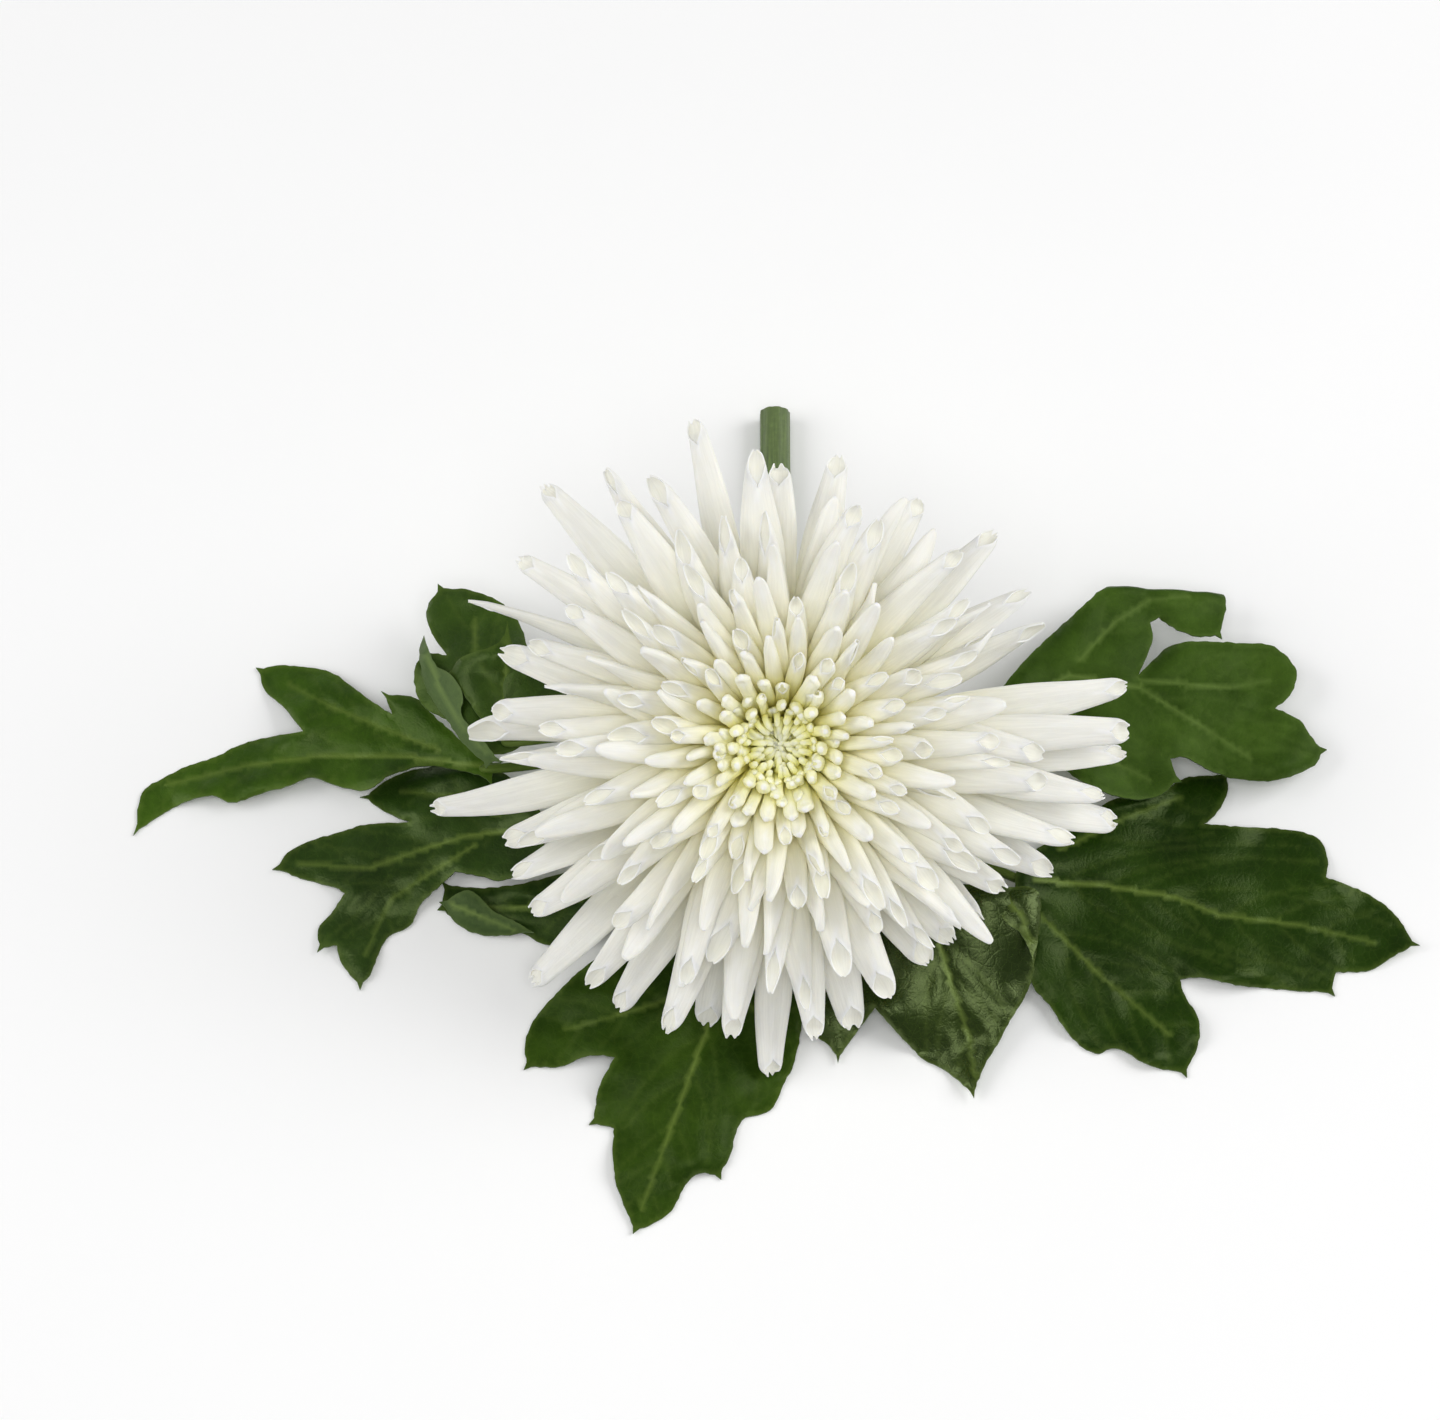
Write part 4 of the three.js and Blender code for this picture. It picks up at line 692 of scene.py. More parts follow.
def green_material(name, dark, light, rough, streak_scale, bump, coat=0.0):
    """Stem and bract tissue: fine lengthwise ribs, mottled green, short pale hairs seen as a soft grain."""
    m, nt, p = new_mat(name)
    tint, fuv = attribute(nt, "tint"), attribute(nt, "fuv")
    mp = nt.nodes.new("ShaderNodeMapping")
    mp.inputs["Scale"].default_value = streak_scale
    nt.links.new(fuv.outputs["Vector"], mp.inputs[0])
    n1 = node(nt, "ShaderNodeTexNoise", Scale=1.0, Detail=5.0, Roughness=0.62)
    nt.links.new(mp.outputs[0], n1.inputs["Vector"])
    co = nt.nodes.new("ShaderNodeTexCoord")
    n2 = node(nt, "ShaderNodeTexNoise", Scale=900.0, Detail=3.0)
    nt.links.new(co.outputs["Object"], n2.inputs["Vector"])
    col = ramp(nt, n1.outputs["Fac"], [(0.3, dark), (0.7, light)])
    col = mixrgb(nt, 1.0, col, tint.outputs["Color"], "MULTIPLY")
    grain = ramp(nt, n2.outputs["Fac"], [(0.45, (0.9, 0.9, 0.88)), (0.7, (1.12, 1.12, 1.1))])
    col = mixrgb(nt, 1.0, col, grain, "MULTIPLY")
    nt.links.new(col, p.inputs["Base Color"])
    nt.links.new(ramp(nt, n2.outputs["Fac"], [(0.3, (rough - 0.08,) * 3), (0.7, (rough + 0.08,) * 3)]), p.inputs["Roughness"])
    h = math_node(nt, "ADD", n1.outputs["Fac"], math_node(nt, "MULTIPLY", n2.outputs["Fac"], 0.35))
    b = nt.nodes.new("ShaderNodeBump")
    b.inputs["Strength"].default_value = bump
    b.inputs["Distance"].default_value = 0.0003
    nt.links.new(h, b.inputs["Height"])
    nt.links.new(b.outputs[0], p.inputs["Normal"])
    p.inputs["Subsurface Weight"].default_value = 0.06
    p.inputs["Subsurface Radius"].default_value = (0.6, 1.0, 0.3)
    p.inputs["Subsurface Scale"].default_value = 0.001
    p.inputs["Sheen Weight"].default_value = 0.12
    p.inputs["Sheen Roughness"].default_value = 0.6
    if coat:
        p.inputs["Coat Weight"].default_value = coat
    return m


MAT_STEM = green_material("stem_green", (0.075, 0.125, 0.030), (0.155, 0.225, 0.062), 0.52, (0.05, 5.0, 1.0), 0.5)
MAT_BRACT = green_material("bract_green", (0.085, 0.145, 0.035), (0.18, 0.25, 0.075), 0.55, (0.12, 7.0, 1.0), 0.45)
MAT_RECEPT = green_material("receptacle_green", (0.16, 0.21, 0.06), (0.27, 0.31, 0.11), 0.55, (0.8, 3.0, 1.0), 0.4)

# receptacle: domed above, ribbed and narrowing to the stem below
prof = np.array([(0, 7.95), (2.4, 7.75), (4.6, 7.1), (6.4, 6.35), (7.9, 5.4), (9.1, 4.3), (10.0, 3.0), (10.6, 1.6), (10.85, 0.2), (10.75, -1.5),
                 (10.2, -3.2), (9.1, -4.9), (7.6, -6.4), (6.2, -7.9), (4.9, -9.2), (4.1, -10.6), (3.55, -11.9), (3.35, -13.4)])
NS = 72
th = np.arange(NS) / NS * 2 * math.pi
verts, cols, uvs = [], [], []
for q, (r, w) in enumerate(prof[1:]):
    rib = 1 + (0.022 * np.cos(12 * th) + 0.012 * np.cos(23 * th + 1)) * smooth(0.5, -6, w) - 0.010 * np.cos(21 * th + q) * smooth(1, 5, w)
    verts.append(head_point(th, r * rib, w))
    cols.append(np.tile(np.array([1.0, 1.0, 1.0]) * lerp(1.15, 0.85, float(smooth(2, -12, w))) * (1 - float(smooth(-1, 3, w))) + np.array([3.0, 2.5, 2.9]) * float(smooth(-1, 3, w)), (NS, 1)))
    uvs.append(np.stack([np.full(NS, w), th / math.pi * 3, np.zeros(NS)], 1))
verts = np.concatenate(verts + [head_point([0.0], [0.0], [prof[0][1]])])
top = len(verts) - 1
faces = []
for q in range(len(prof) - 2):
    for j in range(NS):
        j2 = (j + 1) % NS
        faces.append((q * NS + j, q * NS + j2, (q + 1) * NS + j2, (q + 1) * NS + j))
for j in range(NS):
    faces.append((top, (j + 1) % NS, j))
faces.append(tuple((len(prof) - 2) * NS + j for j in range(NS)))
faces = outward(verts, faces)
ob = build("receptacle_dome", verts, faces, [MAT_RECEPT], np.concatenate(cols + [np.array([[3.0, 2.5, 2.9]])]),
           {"fuv": np.concatenate(uvs + [np.zeros((1, 3))]), "rim_highlight": np.zeros(len(verts))}, sharp=70)
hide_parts("receptacle")


def bract(soup, az, pts, width, t, rnd, curl):
    """One green bract: keeled, pointed, with a thin papery margin."""
    pts = np.array(pts, float)
    nu, nv = 16, 9
    s = np.linspace(0, 1, nu)
    seg = np.concatenate([[0], np.cumsum(np.linalg.norm(np.diff(pts, axis=0), axis=1))])
    seg /= seg[-1]
    r, w = np.interp(s, seg, pts[:, 0]), np.interp(s, seg, pts[:, 1])
    half = width / 2 * np.clip(smooth(-0.25, 0.4, s) * (1 - smooth(0.45, 1.02, s) * 0.93), 0.05, 1)
    dr, dw = np.gradient(r), np.gradient(w)
    ln = np.hypot(dr, dw)
    nr, nw = -dw / ln, dr / ln
    out = []
    for wall in (0, 1):
        for i in range(nu):
            for j in range(nv):
                x = -1 + 2 * j / (nv - 1)
                cup = (0.55 * x * x - 0.28 * math.exp(-(x / 0.16) ** 2) * (1 - s[i] * 0.6)) * half[i] * 0.5 + curl * s[i] ** 3
                thick = t * (1 - 0.75 * abs(x) ** 2.5) * (1 - 0.5 * s[i])
                o = cup + (thick / 2 if wall == 0 else -thick / 2)
                rr, ww = r[i] + nr[i] * o, w[i] + nw[i] * o
                side = -math.sin(az) * X + math.cos(az) * UP
                out.append(head_point(az, rr, ww) + side * x * half[i])
    v = np.array(out)
    faces = []
    g = lambda wall, i, j: wall * nu * nv + i * nv + j
    for i in range(nu - 1):
        for j in range(nv - 1):
            faces.append((g(0, i, j), g(0, i, j + 1), g(0, i + 1, j + 1), g(0, i + 1, j)))
            faces.append((g(1, i, j), g(1, i + 1, j), g(1, i + 1, j + 1), g(1, i, j + 1)))
    for i in range(nu - 1):
        faces.append((g(0, i, 0), g(0, i + 1, 0), g(1, i + 1, 0), g(1, i, 0)))
        faces.append((g(0, i, nv - 1), g(1, i, nv - 1), g(1, i + 1, nv - 1), g(0, i + 1, nv - 1)))
    for j in range(nv - 1):
        faces.append((g(0, 0, j), g(1, 0, j), g(1, 0, j + 1), g(0, 0, j + 1)))
        faces.append((g(0, nu - 1, j), g(0, nu - 1, j + 1), g(1, nu - 1, j + 1), g(1, nu - 1, j)))
    faces = outward(v, faces)
    xx = np.tile(np.tile(-1 + 2 * np.arange(nv) / (nv - 1), nu), 2)
    ss = np.tile(np.repeat(s, nv), 2)
    margin = smooth(0.72, 1.0, np.abs(xx)) + 0.6 * smooth(0.85, 1.0, ss)
    col = np.array([1.0, 1.0, 1.0]) * (1 - 0.15 * (1 - ss))[:, None]
    col = col * (1 - np.clip(margin, 0, 1)[:, None]) + np.array([2.1, 1.75, 1.9]) * np.clip(margin, 0, 1)[:, None]
    soup.add(v, faces, col, np.stack([ss * 10 + rnd * 9, xx, np.full(len(xx), rnd * 5)], 1), np.zeros(len(v)))


for name, n, phase, pts, width in (
        ("involucre_inner", 13, 0.1, [(10.6, -2.6), (11.3, -3.7), (13.0, -4.4), (16.4, -5.1), (20.4, -5.9)], 6.6),
        ("involucre_outer", 11, 0.3, [(8.3, -5.4), (9.2, -6.1), (11.2, -6.6), (14.2, -7.1), (17.3, -7.7)], 6.4)):
    fine = np.random.default_rng(len(name) + n)
    soup = Soup()
    for i in range(n):
        az = phase + i / n * 2 * math.pi
        f = lerp(0.93, 1.05, fine.random())
        bract(soup, az + jitter(fine, 0.05), [(10 + (r - 10) * f, w + jitter(fine, 0.12)) for r, w in pts], width * lerp(0.92, 1.08, fine.random()), 0.75,
              fine.random(), jitter(fine, 0.5))
    ob = soup.build("bracts_" + name, [MAT_BRACT], sharp=60)
    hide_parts(name)

# stem
STEM_BEND_R, STEM_START = 42.0, 12.3
_start = head_point(0.0, 0.0, -STEM_START).reshape(3)
_drop = _start[2] - STEM_R
_straight = max(0.5, (_drop - STEM_BEND_R * (1 - math.cos(HEAD_ELEV))) / math.sin(HEAD_ELEV))
_bend = _start - AXIS * _straight
STEM_PTS = [_start]
for i in range(8):
    g = HEAD_ELEV * (1 - i / 7)
    STEM_PTS.append(np.array([0, _bend[1] + STEM_BEND_R * (math.sin(HEAD_ELEV) - math.sin(g)), _bend[2] - STEM_BEND_R * (math.cos(g) - math.cos(HEAD_ELEV))]))
_l = STEM_PTS[-1]
STEM_PTS.append(np.array([0, lerp(_l[1], STEM_END_Y, 0.55), _l[2]]))
STEM_PTS.append(np.array([0, STEM_END_Y, _l[2]]))
STEM_PTS = np.array(STEM_PTS)


def stem_at(y):
    for a, b in zip(STEM_PTS[:-1], STEM_PTS[1:]):
        if a[1] <= y <= b[1]:
            t = (y - a[1]) / (b[1] - a[1])
            d = b - a
            return a + d * t, d / np.linalg.norm(d)
    raise ValueError(y)


arc = []
for i in range(41):
    g = HEAD_ELEV * (1 - i / 40)
    arc.append((0, _bend[1] + STEM_BEND_R * (math.sin(HEAD_ELEV) - math.sin(g)), _bend[2] - STEM_BEND_R * (math.cos(g) - math.cos(HEAD_ELEV))))
tail = [(0, y, _l[2]) for y in np.linspace(_l[1], STEM_END_Y, 46)[1:]]
head_bit = [tuple(_start + AXIS * 1.6), tuple(_start + AXIS * 0.6)]
sp = np.array(head_bit + arc + tail)
leaf_nodes = [15, 33, 17.5, 24, 29, 20, 41, 14]
rad = np.full(len(sp), STEM_R * 0.985)
for y in leaf_nodes + [58, 76]:
    rad += 0.16 * np.exp(-((sp[:, 1] - y) / 1.6) ** 2)
rad[0] *= 0.93


def stem_profile(th, rows):
    i = np.arange(rows)[:, None]
    return 1 + 0.028 * np.cos(9 * th + 0.35 * np.sin(i * 0.09)) + 0.010 * np.cos(17 * th + i * 0.05)


hint = np.cross(np.gradient(sp, axis=0), X)
rings, th = tube_rings(sp, rad, 72, -hint / np.linalg.norm(hint, axis=1)[:, None], stem_profile, last=np.array([0, 1.0, 0]))
rings[..., 2] = np.maximum(rings[..., 2], 0.02)
# the cut face: a rim, then a slightly sunken pale pith
cut = [rings[-1]]
centre = sp[-1]
for f, dy in ((0.93, 0.16), (0.8, 0.05), (0.62, -0.08), (0.35, -0.22), (0.12, -0.26)):
    ring = centre + (rings[-1] - centre) * f
    ring[:, 1] = STEM_END_Y + dy
    cut.append(ring)
allr = np.concatenate([rings, np.array(cut[1:])])
v, faces = loft(allr)
faces = outward(v, faces)
nr_, ns_ = allr.shape[:2]
col = np.ones((nr_, ns_, 3))
age = smooth(5, 90, np.concatenate([sp[:, 1], np.full(5, 92)]))
col *= (1.12 - 0.22 * age)[:, None, None]
cutcol = [(1.5, 1.35, 1.6), (3.0, 2.4, 3.6), (4.2, 3.2, 6.5), (4.6, 3.4, 7.5), (4.6, 3.4, 7.5)]
for q, c in enumerate(cutcol):
    col[len(sp) + q] = c
uv = np.stack([np.broadcast_to(np.concatenate([np.arange(len(sp)) * 1.4, np.arange(5) + 200])[:, None], (nr_, ns_)),
               np.broadcast_to(th[None] / math.pi * 4, (nr_, ns_)), np.zeros((nr_, ns_))], axis=-1)
ob = build("stem_cut", v, faces, [MAT_STEM], col.reshape(-1, 3), {"fuv": uv.reshape(-1, 3), "rim_highlight": np.zeros(len(v))}, sharp=50)
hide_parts("stem")

# ------------------------------------------------------------------ leaves
LEAF_T = 0.9


def plan_to_world(px, py, z):
    px, py, z = (np.asarray(q, float) for q in (px, py, z))
    q = HEAD + ((px - EYE[0]) * SCALE)[..., None] * X + ((EYE[1] - py) * SCALE)[..., None] * VUP
    d = q - VIEWPOINT
    t = (z - VIEWPOINT[2]) / d[..., 2]
    return VIEWPOINT + d * t[..., None]


def height_field(samples):
    S = np.array([(x / 100, y / 100, z) for x, y, z in samples])

    def ker(d2):
        return np.where(d2 < 1e-9, 0, d2 * np.log(np.maximum(d2, 1e-9)) * 0.5)

    n = len(S)
    A = np.zeros((n + 3, n + 3))
    d2 = (S[:, None, 0] - S[None, :, 0]) ** 2 + (S[:, None, 1] - S[None, :, 1]) ** 2
    A[:n, :n] = ker(d2) + np.eye(n) * 0.02
    A[:n, n], A[:n, n + 1], A[:n, n + 2] = 1, S[:, 0], S[:, 1]
    A[n, :n], A[n + 1, :n], A[n + 2, :n] = 1, S[:, 0], S[:, 1]
    wts = np.linalg.solve(A, np.concatenate([S[:, 2], [0, 0, 0]]))

    def f(x, y):
        x, y = np.asarray(x, float) / 100, np.asarray(y, float) / 100
        v = wts[n] + wts[n + 1] * x + wts[n + 2] * y
        for i in range(n):
            v = v + wts[i] * ker((x - S[i, 0]) ** 2 + (y - S[i, 1]) ** 2)
        return np.maximum(0, v)

    return f


def seg_dist(P, A, B):
    """Distance from each point to each segment, and the place along it."""
    AB = B - A
    L2 = (AB ** 2).sum(1)
    t = np.clip(((P[:, None] - A[None]) * AB[None]).sum(2) / L2[None], 0, 1)
    Q = A[None] + AB[None] * t[..., None]
    return np.linalg.norm(P[:, None] - Q, axis=2), t


def poly_dist(P, poly):
    A = np.asarray(poly, float)
    d, _ = seg_dist(P, A, np.roll(A, -1, 0))
    return d.min(1)


def inside(P, poly):
    A = np.asarray(poly, float)
    B = np.roll(A, -1, 0)
    x, y = P[:, 0][:, None], P[:, 1][:, None]
    cond = (A[None, :, 1] > y) != (B[None, :, 1] > y)
    with np.errstate(divide="ignore", invalid="ignore"):
        xi = (B[:, 0] - A[:, 0])[None] * (y - A[None, :, 1]) / (B[:, 1] - A[:, 1])[None] + A[None, :, 0]
    return (np.sum(cond & (x < xi), axis=1) % 2) == 1


def fine_outline(points, rng_np, step=4.5, corner=128, spike=5.0):
    P = np.array(points, float)
    n = len(P)
    area = 0.5 * np.sum(P[:, 0] * np.roll(P[:, 1], -1) - np.roll(P[:, 0], -1) * P[:, 1])
    prev, nxt = np.roll(P, 1, 0), np.roll(P, -1, 0)
    a, b = prev - P, nxt - P
    ang = np.degrees(np.arccos(np.clip((a * b).sum(1) / np.linalg.norm(a, axis=1) / np.linalg.norm(b, axis=1), -1, 1)))
    turn = np.sign((P - prev)[:, 0] * b[:, 1] - (P - prev)[:, 1] * b[:, 0]) * np.sign(area)
    is_corner = ang < corner
    tan = (nxt - prev) / 2
    out = []
    for i in range(n):
        p0, p1 = P[i].copy(), P[(i + 1) % n].copy()
        L = np.linalg.norm(p1 - p0)
        sc = lambda t: t / max(np.linalg.norm(t), 1e-6) * L
        t0 = sc(tan[i]) if not is_corner[i] else (p1 - p0) * 0.8
        t1 = sc(tan[(i + 1) % n]) if not is_corner[(i + 1) % n] else (p1 - p0) * 0.8
        k = max(2, int(round(L / step)))
        for q in range(k):
            t = q / k
            h = (2 * t ** 3 - 3 * t ** 2 + 1) * p0 + (t ** 3 - 2 * t ** 2 + t) * t0 + (-2 * t ** 3 + 3 * t ** 2) * p1 + (t ** 3 - t ** 2) * t1
            if q == 0 and is_corner[i] and turn[i] > 0:
                bis = a[i] / np.linalg.norm(a[i]) + b[i] / np.linalg.norm(b[i])
                bis = -bis / max(np.linalg.norm(bis), 1e-6)
                h = h + bis * spike
            elif q > 0:
                nrm = np.array([(p1 - p0)[1], -(p1 - p0)[0]]) / L
                h = h + nrm * (rng_np.random() - 0.5) * 1.3
            out.append(h)
    return np.array(out)


def side_veins(ribs, outline, rng_np, spacing=44):
    """Secondary veins branching off each main rib toward the margin."""
    out = []
    all_main = [np.array(r, float) for r in ribs]
    for ri, rib in enumerate(all_main):
        seg = np.diff(rib, axis=0)
        ln = np.linalg.norm(seg, axis=1)
        total = ln.sum()
        cum = np.concatenate([[0], np.cumsum(ln)])
        s = spacing * 0.7
        flip = 1
        while s < total - 8:
            i = min(np.searchsorted(cum, s) - 1, len(seg) - 1)
            p = rib[i] + seg[i] * (s - cum[i]) / ln[i]
            d = seg[i] / ln[i]
            for sg in (1, -1):
                a = math.radians(rng_np.uniform(40, 54)) * sg
                v = np.array([d[0] * math.cos(a) - d[1] * math.sin(a), d[0] * math.sin(a) + d[1] * math.cos(a)])
                q, line = p + v * 2, [p + v * 2]
                q0 = p + d * (6 if sg > 0 else -2)
                q, line = q0.copy(), [q0.copy()]
                for _ in range(40):
                    v = v * 0.93 + d * 0.07
                    v /= np.linalg.norm(v)
                    q = q + v * 6
                    if not inside(q[None], outline)[0] or poly_dist(q[None], outline)[0] < 7:
                        break
                    hit = False
                    for rj, other in enumerate(all_main):
                        if rj != ri and len(line) > 2 and seg_dist(q[None], other[:-1], other[1:])[0].min() < 7:
                            hit = True
                    if hit:
                        break
                    line.append(q.copy())
                if len(line) > 3:
                    out.append(np.array(line))
            s += spacing * rng_np.uniform(0.75, 1.3)
            flip = -flip
    return out


def leaf_material(name, dark, light, vein, under, rough, coat, bump=0.40):
    """Chrysanthemum leaf: mottled green over a net of fine veins, pale veins, matte paler underside."""
    m, nt, p = new_mat(name)
    luv, vn, ud, ed = attribute(nt, "luv"), attribute(nt, "vein"), attribute(nt, "under"), attribute(nt, "edge")
    n1 = node(nt, "ShaderNodeTexNoise", Scale=1.4, Detail=4.0, Roughness=0.6)
    nt.links.new(luv.outputs["Vector"], n1.inputs["Vector"])
    n2 = node(nt, "ShaderNodeTexNoise", Scale=9.0, Detail=5.0, Roughness=0.65)
    nt.links.new(luv.outputs["Vector"], n2.inputs["Vector"])
    vor = nt.nodes.new("ShaderNodeTexVoronoi")
    vor.feature = "DISTANCE_TO_EDGE"
    vor.inputs["Scale"].default_value = 11.0
    nt.links.new(luv.outputs["Vector"], vor.inputs["Vector"])
    vor2 = nt.nodes.new("ShaderNodeTexVoronoi")
    vor2.feature = "DISTANCE_TO_EDGE"
    vor2.inputs["Scale"].default_value = 34.0
    nt.links.new(luv.outputs["Vector"], vor2.inputs["Vector"])
    base = ramp(nt, n1.outputs["Fac"], [(0.32, tuple(c * 0.55 for c in dark)), (0.68, tuple(c * 0.62 for c in light))])
    fine = ramp(nt, n2.outputs["Fac"], [(0.3, (0.86, 0.88, 0.84)), (0.7, (1.12, 1.12, 1.1))])
    base = mixrgb(nt, 1.0, base, fine, "MULTIPLY")
    net = ramp(nt, vor.outputs["Distance"], [(0.0, (1.0, 1.0, 1.0)), (0.055, (0.0, 0.0, 0.0))])
    base = mixrgb(nt, math_node(nt, "MULTIPLY", net, 0.05), base, vein)
    base = mixrgb(nt, math_node(nt, "MULTIPLY", ed.outputs["Fac"], 0.22), base, vein)
    base = mixrgb(nt, vn.outputs["Fac"], base, vein)
    lowc = mixrgb(nt, n2.outputs["Fac"], tuple(c * 0.85 for c in under), tuple(c * 1.12 for c in under))
    lowc = mixrgb(nt, math_node(nt, "MULTIPLY", vn.outputs["Fac"], 0.6), lowc, tuple(min(1, c * 1.5) for c in under))
    base = mixrgb(nt, ud.outputs["Fac"], base, lowc)
    nt.links.new(base, p.inputs["Base Color"])
    r1 = ramp(nt, n2.outputs["Fac"], [(0.3, (rough - 0.07,) * 3), (0.7, (rough + 0.03,) * 3)])
    nt.links.new(mixrgb(nt, ud.outputs["Fac"], r1, (0.68, 0.68, 0.68)), p.inputs["Roughness"])
    h1 = ramp(nt, vor.outputs["Distance"], [(0.0, (0, 0, 0)), (0.22, (1, 1, 1))], "EASE")
    h2 = ramp(nt, vor2.outputs["Distance"], [(0.0, (0, 0, 0)), (0.3, (1, 1, 1))], "EASE")
    h = math_node(nt, "ADD", math_node(nt, "MULTIPLY", h1, 0.16), math_node(nt, "MULTIPLY", h2, 0.10))
    h = math_node(nt, "ADD", h, math_node(nt, "MULTIPLY", n2.outputs["Fac"], 0.10))
    n3 = node(nt, "ShaderNodeTexNoise", Scale=85.0, Detail=2.0, Roughness=0.6)
    nt.links.new(luv.outputs["Vector"], n3.inputs["Vector"])
    h = math_node(nt, "ADD", h, math_node(nt, "MULTIPLY", n3.outputs["Fac"], 0.22))
    b = nt.nodes.new("ShaderNodeBump")
    b.inputs["Strength"].default_value = bump
    b.inputs["Distance"].default_value = 0.0003
    nt.links.new(h, b.inputs["Height"])
    nt.links.new(b.outputs[0], p.inputs["Normal"])
    p.inputs["Specular IOR Level"].default_value = 0.13 + coat
    p.inputs["Specular Tint"].default_value = (0.76, 0.97, 0.40, 1.0)
    return m


